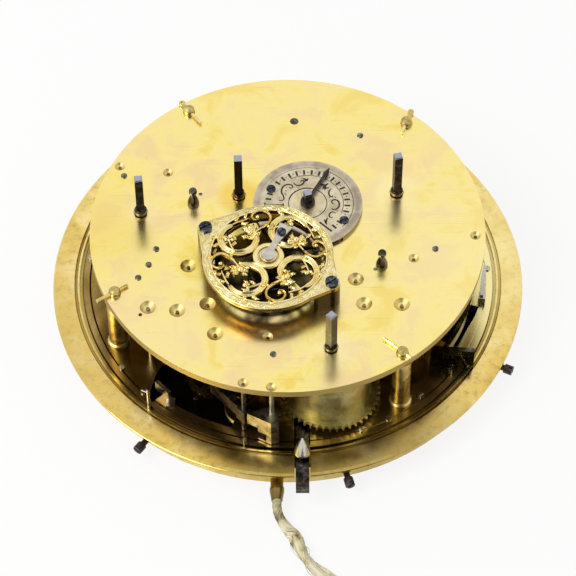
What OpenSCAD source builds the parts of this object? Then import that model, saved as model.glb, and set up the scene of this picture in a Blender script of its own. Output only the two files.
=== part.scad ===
// Movement of a four-train coach clock, lying on its dial.
// +Z runs from the dial to the back plate, X to the right of the back plate, the hinge is at +Y.
// All sizes are in millimetres.

/* [Frame] */
// Radius of the flange that seats on the case
flange_r = 75; // [74:0.5:76]
// Height of the dial ring under the flange
ring_h = 8; // [8:0.25:8.5]
// Thickness of the flange
flange_t = 2.7; // [2.5:0.1:2.7]
// Radius of the dial-side plate that carries the pillars
pillar_plate_r = 65.4; // [65.2:0.1:65.6]
// Radius of the back plate
top_plate_r = 61.84; // [61.6:0.02:62]
// Thickness of each plate
plate_t = 2.5; // [2.4:0.1:2.5]
// Clear height between the plates
gap_h = 22.3; // [22.3:0.1:22.5]
// Radius of each pillar
pillar_r = 2.9; // [2.6:0.1:3]

/* [Winding] */
// Across flats of the winding squares
square_w = 2.5; // [2.3:0.1:2.5]
// Height of the two lower winding squares over the back plate
low_square_h = 17; // [14:0.5:18]
// Height of the two taller winding squares over the back plate
high_square_h = 18.6; // [15:0.5:19]

/* [Balance] */
// Radius of the balance wheel
balance_r = 18.5; // [17:0.1:18.6]
// Outer radius of the pierced bridge
bridge_r = 20.8; // [20.6:0.1:21]
// Radius of the bridge's pierced opening
bridge_open_r = 17.9; // [17.7:0.1:18]
// Height of the bridge table's top over the back plate
bridge_h = 8.5; // [8.4:0.1:8.6]
// Turns of the balance spring
hairspring_turns = 3.5; // [3:0.5:4]

/* [Regulator] */
// Radius of the silvered regulation disc
regulator_r = 17.2; // [17:0.1:17.4]
// Direction that the pointer shows
pointer_angle = 62; // [30:1:90]
// Length of the pointer
pointer_l = 15; // [12:0.1:15]

/* [Cord] */
// Thickness of the repeat cord
cord_d = 3; // [2.8:0.1:3]

/* [Hidden] */
$fn = 64;

// Levels, from the surface it lies on upwards
flange_top = ring_h + flange_t;
pp0 = flange_top - plate_t;
pp1 = flange_top;
tp0 = pp1 + gap_h;
tp1 = tp0 + plate_t;
bridge_t = 1.5;
bz1 = tp1 + bridge_h;
bz0 = bz1 - bridge_t;
dial_z0 = 4.3;
dial_z1 = 5.2;

// Places of the arbors on the plates
C = [0, 0];
A1 = [-46.05, 6.95];
A2 = [-15.28, 13.45];
A3 = [34.49, 14.18];
A4 = [12.97, -45.71];
G = [2.37, 44.07];
V = [-5.93, -16.6];
K = [20.95, -19.7];
S1 = [-30.76, -14.18];
S2 = [-42.84, -30];
S3 = [-33.86, -31.24];
S4 = [-24.63, -28.84];
S5 = [-22.17, -40.1];
S7 = [23.31, -29.1];
S8 = [34.84, -29.44];
H1 = [-53.2, 25.74];
H2 = [-37.8, 23.09];
H3 = [58.61, -2.94];
H4 = [39.08, -11.72];
H5 = [-6.2, -41.33];
H6 = [-13.6, -58.3];
H7 = [-5.12, -59.92];
R = [6.4, 9.2];
P = [-11.9, -47];
pillar_at = [[-31.6, 48.3], [38.5, 43], [34.5, -47.8], [-53.2, -24.6]];
// Pins through the pillars' tops: direction, length to each side of the pillar, and the split or
// the eye that the pin's end has
head_pins = [[-54, 6.7, 3.1, "eye"], [-110, 4.9, 3.7, "eye"], [137, 7.7, 3.3, "split"], [34, 4.8, 6.4, "split"]];
head_pin_z = 0.72;

// Shared sizes of the arbors and their fits
arbor_r = 0.8;
pivot_r = 0.48;
hole_r = 0.55;
wind_r = 1.97;
wind_hole_r = 2.05;
run = 0.3;
top_of_pivot = tp1 - 0.6;

function polar(r, a) = [r * cos(a), r * sin(a)];
function dist(a, b) = norm(b - a);
function ang(a, b) = atan2(b[1] - a[1], b[0] - a[0]);
// Pitch radius of a wheel of n teeth that meshes with one of m teeth at centre distance d
function pitch_r(d, n, m) = d * n / (n + m);
// Third arbor: on the line from the centre to the contrate wheel's arbor
T = C + polar(16, ang(C, K));
// Minute wheel's stud under the pillar plate
M = polar(10.8, 200);
// The crown wheel's arbor lies along this direction from the verge
crown_a = ang(V, K);
crown_z = 26;

module at(p, z = 0) {
  translate([p[0], p[1], z])
    children();
}

module rod(r, z0, z1) {
  translate([0, 0, z0])
    cylinder(h = z1 - z0, r = r);
}

module tube(r, bore, z0, z1) {
  difference() {
    rod(r, z0, z1);
    rod(bore, z0 - 1, z1 + 1);
  }
}

// Outline of n teeth: add and ded are the tooth's height over and under the pitch circle,
// tip and root are its widths there as shares of the pitch
function tooth_points(n, rp, add, ded, tip, root, turn) = [
  for (i = [0:n - 1])
    for (k = [[rp - ded, -root / 2], [rp + add, -tip / 2], [rp + add, tip / 2], [rp - ded, root / 2]])
      polar(k[0], turn + (i + k[1]) * 360 / n)
];

module teeth(n, rp, z0, z1, turn) {
  m = 2 * rp / n;
  translate([0, 0, z0])
    linear_extrude(z1 - z0)
      polygon(tooth_points(n, rp, 0.62 * m, 0.95 * m, 0.16, 0.5, turn));
}

module leaves(n, rp, z0, z1, turn) {
  m = 2 * rp / n;
  translate([0, 0, z0])
    linear_extrude(z1 - z0)
      polygon(tooth_points(n, rp, 0.4 * m, 0.95 * m, 0.14, 0.42, turn));
}

// Windows between the arms of a crossed-out wheel
module windows(r0, r1, z0, z1, arms, w, turn = 0) {
  translate([0, 0, z0 - 1])
    linear_extrude(z1 - z0 + 2)
      difference() {
        circle(r1);
        circle(r0);
        for (i = [0:arms - 1])
          rotate(turn + i * 360 / arms)
            translate([0, -w / 2])
              square([r1 + 1, w]);
      }
}

module crossed_wheel(n, rp, z0, z1, turn, hub = 2.6, arms = 4, w = 1.6) {
  m = 2 * rp / n;
  difference() {
    teeth(n, rp, z0, z1, turn);
    windows(hub, rp - 0.95 * m - 1.5, z0, z1, arms, w, turn + 45);
  }
}

// Arbor between the plates with a pivot at each end
module arbor(r = arbor_r, top = top_of_pivot) {
  rod(r, pp1 + run, tp0 - run);
  rod(pivot_r, pp0 + 0.8, pp1 + run);
  rod(pivot_r, tp0 - run, top);
}

module screw_head(r, z0, h, slot_a, slot = 0.5) {
  difference() {
    rod(r, z0, z0 + h);
    translate([0, 0, z0 + h])
      rotate(slot_a)
        cube([3 * r, slot, h * 0.9], center = true);
  }
}

// Tube along a list of points, each ring square to its neighbours' chord
function unit(v) = v / norm(v);
function side(p, i, n) = unit(p[min(i + 1, n - 1)] - p[max(i - 1, 0)]);
module sweep(p, section) {
  n = len(p);
  k = len(section);
  pts = [
    for (i = [0:n - 1])
      let (t = side(p, i, n), a = unit(cross([0, 0, 1], t)), b = cross(t, a))
        for (s = section) p[i] + s[0] * a + s[1] * b
  ];
  polyhedron(pts, concat(
    [[for (j = [0:k - 1]) j]],
    [for (i = [0:n - 2]) for (j = [0:k - 1])
      [i * k + j, (i + 1) * k + j, (i + 1) * k + (j + 1) % k]],
    [for (i = [0:n - 2]) for (j = [0:k - 1])
      [i * k + j, (i + 1) * k + (j + 1) % k, i * k + (j + 1) % k]],
    [[for (j = [k - 1:-1:0]) (n - 1) * k + j]]
  ), convexity = 10);
}

// Dial ring: wall, shelf for the pillar plate, flange and the lug of the movement's hinge
latch_x = 4.1;
latch_w = 4.1;
slot_w = 4.9;
wall_r0 = 66.8;
wall_r1 = 71;
tube_x = -3.7;
tube_z = 3.7;
tube_y = -80;
tube_in_y = -69;
rim_angles = [-126.9, -76.1, -25.3, 104];
rim_z = 5;
groove_z = flange_top - 0.9;
post_at = [-43.1, -50];
post_r = 0.5;
hinge_y = 78.2;
hinge_z = 3.4;
hinge_l = 9;
hinge_bore = 0.8;
module dial_ring() {
  color("goldenrod")
    difference() {
      union() {
        rotate_extrude($fn = 128)
          polygon([[wall_r0, 0], [wall_r1, 0], [wall_r1, ring_h], [flange_r - 0.3, ring_h],
                   [flange_r, ring_h + 0.4], [flange_r, ring_h + 1.1], [flange_r - 0.35, ring_h + 1.3],
                   [flange_r, ring_h + 1.5], [flange_r - 0.5, flange_top - 0.35], [68.2, flange_top],
                   [67.9, flange_top - 0.35], [67.3, flange_top - 0.35], [67.2, flange_top],
                   [66.6, flange_top], [66.6, groove_z], [65.6, groove_z], [65.6, pp0], [63, pp0],
                   [63, pp0 - 1.4], [wall_r0, pp0 - 1.4]]);
        translate([-hinge_l / 2, wall_r1 - 1, hinge_z - 1.8])
          cube([hinge_l, hinge_y - wall_r1 + 1, 3.6]);
        translate([-hinge_l / 2, hinge_y, hinge_z])
          rotate([0, 90, 0])
            cylinder(h = hinge_l, r = 1.8);
      }
      translate([-hinge_l / 2 - 1, hinge_y, hinge_z])
        rotate([0, 90, 0])
          cylinder(h = hinge_l + 2, r = hinge_bore);
      translate([latch_x - slot_w / 2, -flange_r - 1, ring_h])
        cube([slot_w, 12.5, 4]);
      for (a = rim_angles)
        rotate(a)
          translate([0, 0, rim_z])
            rotate([0, 90, 0])
              cylinder(h = 80, r = 1.02, $fn = 24);
      translate([tube_x, tube_in_y, tube_z])
        rotate([90, 0, 0])
          cylinder(h = 12, r = 2.05);
      at(post_at)
        rod(post_r + 0.02, pp0 - 1.2, pp1, $fn = 24);
    }
}

module rim_screws() {
  color("dimgray")
    for (a = rim_angles)
      rotate(a)
        translate([0, 0, rim_z])
          rotate([0, 90, 0]) {
            rod(0.97, 67.5, 75.4, $fn = 24);
            screw_head(1.5, 75.2, 2.6, 30 + a);
          }
}

// Dial with its feet, face down; the numerals are printed on its lower face
foot_angles = [60, 180, 315];
module dial() {
  color("ivory")
    difference() {
      union() {
        rod(66.5, dial_z0, dial_z1);
        for (a = foot_angles)
          at(polar(60, a))
            rod(1.2, dial_z1, pp0 + 1.5);
      }
      rod(3.1, dial_z0 - 1, dial_z1 + 1);
    }
}

// Every arbor that has both pivots in the plates
train_arbors = [T, K, S3, S4, S5, S7, S8, H1, H2, H3, H4, H5, H6, H7, S1];
small_sinks = [H1, H2, H3, H4, H5, H6, H7];
big_sinks = [K, S1, S2, S3, S4, S5, S7, S8];
winders = [A1, A3, A4];
stud_at = [[-29.57, 10.6], [29.09, -14.25]];
stud_pin_at = [[-27.4, 14.2], [27.05, -15.9]];
top_pin_at = [[-51.77, 21.8], [23.49, 37.95], [45.91, -8.09], [-4.57, -47.89],
              [-40.86, -7.59], [-43.06, -13.67], [-46.13, -18.68]];
lower_screw_at = [[-51.9, -35.1], [-44.9, -44.4], [51, -34], [41.2, -46.4], [30.7, -54.8],
                  [22.4, -59], [-63.2, 8], [63.9, 2.8]];
lower_pin_at = [[-13.4, -63.4], [50.3, -37.8]];
seam_r = 63.1;

// Openings of the pillar plate for the hammers, at the front and at the right
front_side = [[-37.9, -31.8], [-39.7, -34.9], [-41.4, -38.3], [-42.9, -44.3], [-42.4, -48.3],
              [-38.7, -45.2]];
front_opening = concat(front_side, [for (a = [-127:2:-107]) polar(60.3, a)],
                       [for (a = [-106.5, -116, -128]) polar(49, a)]);
right_opening = [[42.4, -22.5], [53, -27.8], [57, -20], [59.2, -15.8], [60.5, -12.1], [47, -9.3]];

module pillar_plate() {
  color("darkgoldenrod")
    difference() {
      rod(pillar_plate_r, pp0, pp1, $fn = 128);
      for (p = train_arbors)
        at(p)
          rod(hole_r, pp0 - 1, pp1 + 1);
      for (p = concat(winders, [G, A2]))
        at(p)
          rod(1.68, pp0 - 1, pp1 + 1);
      rod(1.3, pp0 - 1, pp1 + 1);
      for (p = pillar_at)
        at(p)
          rod(2.2, pp0 - 1, pp1 + 1);
      for (a = foot_angles)
        at(polar(60, a))
          rod(1.25, pp0 - 1, pp0 + 1.6);
      for (p = concat(lower_screw_at, lower_pin_at, [M, P, S2]))
        at(p)
          rod(0.72, pp0 - 1, pp1 + 1);
      translate([0, 0, pp0 - 1])
        linear_extrude(plate_t + 2) {
          polygon(front_opening);
          polygon(right_opening);
        }
      tube(seam_r + 0.22, seam_r - 0.22, pp1 - 0.5, pp1 + 1, $fn = 128);
      translate([latch_x - slot_w / 2, -pillar_plate_r - 1, pp0 - 1])
        cube([slot_w, 14, 5]);
    }
}

module pillars() {
  color("gold")
    for (p = pillar_at)
      at(p)
        difference() {
          rotate_extrude()
            polygon([[0, pp0], [2.15, pp0], [2.15, pp1], [3.5, pp1], [3.5, pp1 + 0.8],
                     [pillar_r, pp1 + 1.2], [pillar_r, tp0 - 0.9], [3.3, tp0 - 0.5], [3.3, tp0],
                     [1.9, tp0], [1.9, tp1], [1.75, tp1 + 0.2], [1.75, tp1 + 1.4], [1.5, tp1 + 1.75],
                     [0.9, tp1 + 2], [0, tp1 + 2.05]]);
          rotate(head_pins[search([p], pillar_at)[0]][0])
            translate([-4, 0, tp1 + head_pin_z])
              rotate([0, 90, 0])
                cylinder(h = 8, r = 0.65, $fn = 24);
        }
}

// Brass taper pins through the pillars' tops, and the post that rises from the dial's back in the
// front opening
dial_post_at = [-28.7, -47.4];
module head_pin(to, from, end) {
  difference() {
    translate([-from, 0, 0])
      rotate([0, 90, 0])
        cylinder(h = to + from, r1 = 0.62, r2 = 0.45, $fn = 24);
    if (end == "split")
      translate([to - 2.8, -0.14, -1])
        cube([3, 0.28, 2]);
  }
  if (end == "eye")
    translate([-from - 0.7, 0, -0.35])
      tube(1, 0.4, 0, 0.7, $fn = 24);
}

module pillar_pins() {
  color("darkgoldenrod") {
    for (i = [0:3])
      at(pillar_at[i], tp1 + head_pin_z)
        rotate(head_pins[i][0])
          head_pin(head_pins[i][1], head_pins[i][2], head_pins[i][3]);
    at(dial_post_at)
      rod(0.72, dial_z1, 11.6, $fn = 24);
  }
}

module sink(r, depth) {
  // Spherical oil sink round a pivot hole
  k = (r * r + depth * depth) / (2 * depth);
  translate([0, 0, tp1 + k - depth])
    sphere(r = k, $fn = 48);
}

module top_plate() {
  color("gold")
    difference() {
      rod(top_plate_r, tp0, tp1, $fn = 128);
      for (p = concat(train_arbors, [C]))
        at(p)
          rod(hole_r, tp0 - 1, tp1 + 1);
      for (p = big_sinks)
        at(p)
          sink(2.5, 1.1);
      for (p = small_sinks)
        at(p)
          sink(1.65, 0.8);
      for (p = concat(winders, [A2]))
        at(p) {
          rod(wind_hole_r, tp0 - 1, tp1 + 1);
          rod(wind_hole_r + 0.3, tp1 - 0.4, tp1 + 1);
        }
      at(G)
        rod(1.38, tp0 - 1, tp1 + 1);
      at(V)
        rod(1.2, tp0 - 1, tp1 + 1);
      at(R)
        rod(0.9, tp0 - 1, tp1 + 1);
      for (p = pillar_at)
        at(p)
          rod(1.95, tp0 - 1, tp1 + 1);
      for (p = concat(stud_pin_at, top_pin_at, stud_at, [S2]))
        at(p)
          rod(0.62, tp0 - 1, tp1 + 1);
      at([-45.09, -32.79])
        rod(0.6, tp0 - 1, tp1 + 1);
      for (i = [0:1])
        at(bridge_screw_at[i])
          rod(1.02, tp0 - 1, tp1 + 1);
      for (i = [0:1])
        at(regulator_screw_at[i])
          rod(0.72, tp0 - 1, tp1 + 1);
    }
}

// Turned steel studs on the back plate
module plate_studs() {
  color("silver")
    for (p = stud_at)
      at(p)
        rotate_extrude()
          polygon([[0, tp0 + 0.4], [0.6, tp0 + 0.4], [0.6, tp1], [1.75, tp1], [1.85, tp1 + 0.5],
                   [1.7, tp1 + 1.5], [1.25, tp1 + 2.9], [0.8, tp1 + 4], [0.7, tp1 + 4.6],
                   [1.05, tp1 + 4.9], [1.3, tp1 + 5.4], [1.3, tp1 + 6.1], [1.15, tp1 + 6.5],
                   [0, tp1 + 6.5]]);
}

// Steady pins and small screws: flush ones in the back plate, headed ones in the pillar plate,
// the shouldered post of the release lever's spring, the studs under the pillar plate and the
// slender post in the ring's groove
module plate_pins() {
  color("slategray") {
    for (p = top_pin_at)
      at(p) {
        rod(0.6, tp0 + 0.3, tp1);
        rod(1, tp1, tp1 + 0.25, $fn = 24);
      }
    for (p = stud_pin_at)
      at(p)
        rod(0.6, tp0 + 0.3, tp1 - 0.15);
    for (p = lower_screw_at)
      at(p) {
        rod(0.7, pp0, pp1, $fn = 24);
        screw_head(0.95, pp1, 0.5, 20 + p[0] * 9, 0.3);
      }
    for (p = lower_pin_at)
      at(p)
        rod(0.7, pp0, pp1 + 2, $fn = 24);
    at(S2) {
      rod(0.7, pp0, pp1);
      rod(1, pp1, tp0);
      rod(0.55, tp0, top_of_pivot);
    }
    at(M)
      rod(0.7, 5.5, pp1);
    at(P)
      rod(0.7, 5.4, pp1);
    at(post_at)
      rod(post_r, pp0 - 1.2, 20.6, $fn = 24);
  }
}

// Bridge screws, regulator disc screws and the coqueret's screw
bridge_screw_a = [151, -29];
bridge_screw_at = [for (a = bridge_screw_a) V + polar(22.1, a)];
regulator_screw_at = [R + polar(12.9, 153.2), R + polar(13.26, -31.3)];
coqueret_a = ang(V, [-0.3, -5.3]);
coqueret_screw_r = 9.2;
coqueret_screw_at = V + polar(coqueret_screw_r, coqueret_a);
regulator_z0 = tp1 + 0.75;
regulator_z1 = tp1 + 1.45;
module blued_screws() {
  color("midnightblue") {
    for (i = [0:1])
      at(bridge_screw_at[i]) {
        rod(0.97, tp0 + 0.2, bz1 - 0.2, $fn = 24);
        screw_head(2.05, bz1 - 0.3, 1.1, 28 + i * 8, 0.55);
      }
    for (i = [0:1])
      at(regulator_screw_at[i]) {
        rod(0.68, tp0 + 0.2, regulator_z1 - 0.1, $fn = 24);
        screw_head(1.45, regulator_z1 - 0.2, 0.55, 24, 0.35);
      }
    at(coqueret_screw_at) {
      rod(0.6, bz0 + 0.1, bz1 + 1.1, $fn = 24);
      screw_head(1.4, bz1 + 0.75, 0.6, 60, 0.35);
    }
  }
}

// Silvered regulation disc: a thin plate on a rim that is open towards the balance for the rack
rack_a = ang(R, V);
module regulator_dial() {
  color("silver")
    difference() {
      at(R)
        rod(regulator_r, tp1, regulator_z1, $fn = 96);
      at(R)
        rod(regulator_r - 1.3, tp1 - 1, regulator_z0);
      at(V) {
        rod(26.4, tp1 - 1, regulator_z0);
        rod(12.1, tp1 - 1, regulator_z1 + 1);
      }
      at(R)
        rod(1.05, tp1 - 1, regulator_z1 + 1);
      for (p = regulator_screw_at)
        at(p)
          rod(0.75, tp1 - 1, regulator_z1 + 1, $fn = 24);
      for (p = regulator_screw_at)
        at(p)
          rod(1.5, regulator_z1 - 0.2, regulator_z1 + 1, $fn = 32);
    }
  color("silver")
    for (p = regulator_screw_at)
      at(p)
        tube(1.8, 0.75, tp1, regulator_z0);
}

// Pierced balance bridge: two feet, a table with a round opening, and four C-scrolls that carry
// the hub. Each scroll is drawn as it lies along +X from the hub.
hub_r = 4.9;
scroll_axis = 45;
big_at = [11.2, 1.95];
big_r = 6.6;
big_in_at = [11.5, 1.95];
big_in_r = 5.15;
big_gap = [221, 332];
small_at = [11.9, -8.6];
small_r = 3.35;
small_w = 0.95;
small_gap = [65, 130];
// Volutes, flower and bud of a scroll: place and radius
buds = [[7.6, -1.1, 1.25], [10.3, -2, 1.7], [12.9, -7.1, 0.95], [13.2, 3.6, 1]];
// Leaves of a scroll: place, direction, length and width
leaf_forms = [[10.7, 5.2, -28, 6.8, 1.5], [9.3, -4.9, 104, 5.4, 1.5], [15.1, -3.5, 72, 6.4, 1.4]];
module ring2(r, w) {
  difference() {
    circle(r);
    circle(r - w);
  }
}

module wedge2(r, a) {
  polygon([[0, 0], polar(r, a[0]), polar(r, (a[0] + a[1]) / 2), polar(r, a[1])]);
}

// Pointed leaf between two arcs
module leaf2(l, w) {
  r = (l * l + w * w) / (4 * w);
  intersection() {
    translate([0, r - w / 2])
      circle(r);
    translate([0, w / 2 - r])
      circle(r);
  }
}

module scroll2() {
  difference() {
    translate(big_at)
      circle(big_r);
    translate(big_in_at)
      circle(big_in_r);
    translate(big_at)
      wedge2(1.5 * big_r, big_gap);
  }
  translate(small_at)
    difference() {
      ring2(small_r, small_w);
      wedge2(1.5 * small_r, small_gap);
    }
  for (b = buds)
    translate([b[0], b[1]])
      circle(b[2]);
  for (l = leaf_forms)
    translate([l[0], l[1]])
      rotate(l[2])
        leaf2(l[3], l[4]);
}

// Tongue of the table under the coqueret, which holds its screw
module tongue2() {
  rotate(coqueret_a) {
    polygon([[0, -0.9], [5.2, -0.9], [coqueret_screw_r, -1.6], [coqueret_screw_r, 1.6], [5.2, 0.9], [0, 0.9]]);
    translate([coqueret_screw_r, 0])
      circle(1.6);
  }
}

module bridge_table2() {
  difference() {
    union() {
      circle(bridge_r, $fn = 96);
      for (a = bridge_screw_a)
        rotate(a)
          translate([22.1, 0])
            circle(2.6);
      for (a = bridge_screw_a)
        rotate(a)
          polygon([[bridge_r * cos(48), bridge_r * sin(48)], [23.2, 2.4], [23.2, -2.4],
                   [bridge_r * cos(48), -bridge_r * sin(48)]]);
    }
    circle(bridge_open_r, $fn = 96);
  }
}

module balance_bridge() {
  color("gold")
    at(V)
      difference() {
        union() {
          translate([0, 0, bz0])
            linear_extrude(bridge_t) {
              bridge_table2();
              circle(hub_r);
              tongue2();
              intersection() {
                circle(bridge_open_r + 0.5, $fn = 96);
                for (i = [0:3])
                  rotate(scroll_axis + i * 90)
                    scroll2();
              }
            }
          for (a = bridge_screw_a)
            rotate(a)
              translate([0, 0, tp1])
                linear_extrude(bz0 - tp1)
                  difference() {
                    translate([22.1, 0])
                      square([5, 13], center = true);
                    circle(19.7, $fn = 96);
                    for (s = [-1, 1])
                      translate([24.6, s * 6.5])
                        circle(3.2);
                  }
        }
        for (a = bridge_screw_a)
          rotate(a)
            translate([22.1, 0]) {
              rod(1.02, tp1 - 1, bz1 + 1, $fn = 24);
              rod(2.1, bz1 - 0.3, bz1 + 1, $fn = 32);
            }
        rod(0.4, bz0 - 1, bz1 + 1);
        translate([coqueret_screw_at[0] - V[0], coqueret_screw_at[1] - V[1]])
          rod(0.62, bz0 - 1, bz1 + 1, $fn = 24);
      }
}

// Steel end plate over the balance's upper pivot
module coqueret() {
  color("lightslategray")
    difference() {
      translate([V[0], V[1], bz1])
        rotate(coqueret_a)
          linear_extrude(0.75)
            union() {
              circle(2.35);
              polygon([[0, -1.15], [5.2, -0.95], [12.4, -2.2], [12.4, 2.2], [5.2, 0.95], [0, 1.15]]);
            }
      at(coqueret_screw_at)
        rod(0.62, bz1 - 1, bz1 + 2, $fn = 24);
    }
}

// Potences: the blocks under the back plate that hold the verge's foot and the crown wheel's arbor
module potences() {
  color("darkgoldenrod")
    at(V)
      rotate(crown_a)
        difference() {
          union() {
            translate([-7.4, -2.8, 18.4])
              cube([4.6, 5.6, tp0 - 18.4]);
            translate([-7.4, -2.8, 18.4])
              cube([9.6, 5.6, 1.8]);
            translate([-3, 1, crown_z - 1.5])
              cube([7.2, 2, 3]);
            translate([3, -1.5, crown_z - 1.5])
              cube([1.4, 4.5, 3]);
            translate([21.6, -2.2, crown_z - 1.1])
              cube([1.8, 4.4, tp0 - crown_z + 1.1]);
          }
          rod(0.42, 17, 21);
          translate([1, 0, crown_z])
            rotate([0, 90, 0])
              cylinder(h = 24, r = 0.42);
        }
}

// Balance spring: a flat spiral strip with its outer end in a stud on the plate
spring_r0 = 2.2;
spring_r1 = 9;
spring_w = 0.35;
spring_z0 = tp1 + 1.9;
spring_z1 = tp1 + 2.6;
function spiral_r(k) = spring_r0 + (spring_r1 - spring_r0) * k / (hairspring_turns * 360);
spring_step = 15;
spring_end = hairspring_turns * 360;
spring_a0 = 120;
echo(spring_gap = min([for (a = [0:spring_step:spring_end - 360])
  norm(polar(spiral_r(a + 360), a + 360) - polar(spiral_r(a), a)) - spring_w]));
module balance_spring() {
  color("steelblue") {
    at(V, spring_z0)
      rotate(spring_a0)
        linear_extrude(spring_z1 - spring_z0)
          polygon(concat(
            [for (a = [0:spring_step:spring_end]) polar(spiral_r(a) - spring_w / 2, a)],
            [for (a = [spring_end:-spring_step:0]) polar(spiral_r(a) + spring_w / 2, a)]));
    at(V + polar(spring_r1 + 0.7, spring_a0 + spring_end))
      rod(0.7, tp1, spring_z1 + 0.4);
  }
}

// Fusee chain: from the fusee's wide end up to the level where it crosses to the barrel,
// then up the barrel
fusee_z0 = 17.4;
fusee_z1 = 28.6;
fusee_r0 = 12.2;
fusee_r1 = 7.4;
fusee_pitch = 1.55;
cross_z = 22.4;
barrel_r = 14;
chain_t = 0.7;
chain_h = 1.3;
function fusee_r(z) = fusee_r0 + (fusee_r1 - fusee_r0) * (z - fusee_z0) / (fusee_z1 - fusee_z0);
chain_off = 0.12 + chain_t / 2;
fusee_turns = 2.5;
drum_turns = 2.5;
link_step = 12;
tangent_a = ang(A2, G);
tangent_d = acos((barrel_r - fusee_r(cross_z)) / dist(A2, G));
leave_a = tangent_a - (180 - tangent_d);
function on_fusee(k) = let (z = fusee_z0 + 0.9 + (cross_z - fusee_z0 - 0.9) * k / (fusee_turns * 360))
  concat(A2 + polar(fusee_r(z - 0.65) + chain_off, leave_a - fusee_turns * 360 + k), [z]);
function on_drum(k) = concat(G + polar(barrel_r + chain_off, leave_a + k), [cross_z + 4 * k / (drum_turns * 360)]);
chain_path = concat(
  [for (k = [0:link_step:fusee_turns * 360]) on_fusee(k)],
  [for (k = [0:link_step:drum_turns * 360]) on_drum(k)]
);
module fusee_chain() {
  color("dimgray")
    sweep(chain_path, [[-chain_t / 2, -chain_h / 2], [chain_t / 2, -chain_h / 2],
                       [chain_t / 2, chain_h / 2], [-chain_t / 2, chain_h / 2]]);
}

// Steel springs on the pillar plate: at the front a strip that stands on edge with its foot on the
// plate's rim, at the right a flat blade on a small block
strip_from = [-40.3, -43.1];
strip_to = [-36.2, -47.5];
strip_t = 1.2;
strip_top = 15.6;
blade_r = 62.3;
blade_z = 13.2;
module plate_springs() {
  color("gray") {
    translate([strip_from[0], strip_from[1], pp1])
      rotate(ang(strip_from, strip_to))
        translate([0, -strip_t, 0])
          cube([dist(strip_from, strip_to), strip_t, strip_top - pp1]);
    translate([strip_to[0] - 1.6, strip_to[1] - 3, pp1])
      cube([2.8, 3.4, 1]);
    rotate(-9)
      translate([61.2, -1.2, pp1])
        cube([2.2, 2.6, blade_z - pp1]);
    translate([0, 0, blade_z])
      linear_extrude(0.8)
        polygon([polar(blade_r - 0.7, -9.4), polar(blade_r + 0.4, -9.4), polar(blade_r + 0.9, -4),
                 polar(blade_r + 0.9, 0), polar(blade_r + 0.8, 3.6), polar(blade_r - 0.4, -1),
                 polar(blade_r - 0.8, -5)]);
  }
}

module cord_tube() {
  color("darkgoldenrod")
    translate([tube_x, tube_in_y, tube_z])
      rotate([90, 0, 0])
        difference() {
          rotate_extrude()
            polygon([[0, 0], [2, 0], [2, 6.4], [2.25, 6.6], [2.25, 7.6], [1.7, tube_in_y - tube_y],
                     [0, tube_in_y - tube_y]]);
          translate([0, 0, -1])
            cylinder(h = tube_in_y - tube_y, r = 1.2);
        }
}

// Repeat cord: straight out of the tube, down to the surface, then the photograph's line and
// a loose open loop that ends in the knot
cord_route = [
  [tube_x, tube_y, tube_z], [tube_x, tube_y - 2.2, tube_z], [-3.2, -84.6, 3.1], [-1.9, -87, 2.2],
  [0, -89.4, 1.6],
  [1.6, -91.6, 1.5], [2.8, -94.6, 1.5], [4.2, -97.6, 1.5], [6, -100.6, 1.5], [8.2, -103.4, 1.5],
  [10.8, -106, 1.5], [14, -108.6, 1.5], [17.6, -111, 1.5], [21.4, -113.4, 1.5], [25, -116.2, 1.5],
  [28, -119.6, 1.5], [29.6, -123.6, 1.5], [29.6, -128, 1.5], [27.8, -132, 1.5], [24.6, -135, 1.5],
  [20.6, -136.6, 1.5], [16.2, -136.6, 1.5], [12, -135.2, 1.5], [8.8, -132.6, 1.5],
  [7, -130.4, 1.5], [7, -128, 1.5]
];
knot_at = [7, -125.6, 2.3];
knot_r = 2.9;
function octagon(r) = [for (i = [0:7]) [r * cos(22.5 + i * 45), r * sin(22.5 + i * 45)]];
module repeat_cord() {
  color("beige")
    sweep(cord_route, octagon(cord_d / 2));
}

module cord_knot() {
  color("beige")
    intersection() {
      translate(knot_at)
        sphere(r = knot_r, $fn = 32);
      translate([0, cord_route[len(cord_route) - 1][1], 0])
        cube(15);
    }
}

// Latch bolt: a bar that slides in the flange with a turned nose to push it back
module latch_bolt() {
  color("dimgray")
    union() {
      translate([latch_x - latch_w / 2, -80.2, pp0 + 0.1])
        cube([latch_w, 23.5, 2.2]);
      at([latch_x, -67.6])
        rotate_extrude()
          polygon([[0, pp0 + 1], [1.5, pp0 + 1], [1.5, pp1 + 1.2], [2.5, pp1 + 1.3],
                   [2.4, pp1 + 1.9], [1.4, pp1 + 5.4], [0.25, pp1 + 8.6], [0, pp1 + 8.7]]);
    }
}

// Winding arbors with their ratchets under the pillar plate
wind_foot_r = 1.6;
ratchet_z0 = 6.2;
module ratchet(n, r, z0, z1) {
  translate([0, 0, z0])
    linear_extrude(z1 - z0)
      polygon([for (i = [0:n - 1]) for (k = [[r, 0], [r - 0.9, 0.06]]) polar(k[0], (i + k[1]) * 360 / n)]);
}

module winding_ratchet() {
  ratchet(24, 5, ratchet_z0, ratchet_z0 + 1.4);
}

module winding_arbor(h, turn) {
  rod(wind_r, pp1 + run, tp1 + 1.6);
  rod(wind_foot_r, ratchet_z0, pp1 + run);
  rod(1.7, tp1 + 1.6, tp1 + 2.2);
  rotate(turn)
    translate([-square_w / 2, -square_w / 2, tp1 + 2])
      cube([square_w, square_w, h - 2.2]);
  rotate(turn)
    translate([-square_w / 2 + 0.3, -square_w / 2 + 0.3, tp1 + h - 0.3])
      cube([square_w - 0.6, square_w - 0.6, 0.3]);
  winding_ratchet();
}

module hour_arbor() {
  color("dimgray")
    at(A3)
      winding_arbor(high_square_h, 12);
}

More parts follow.
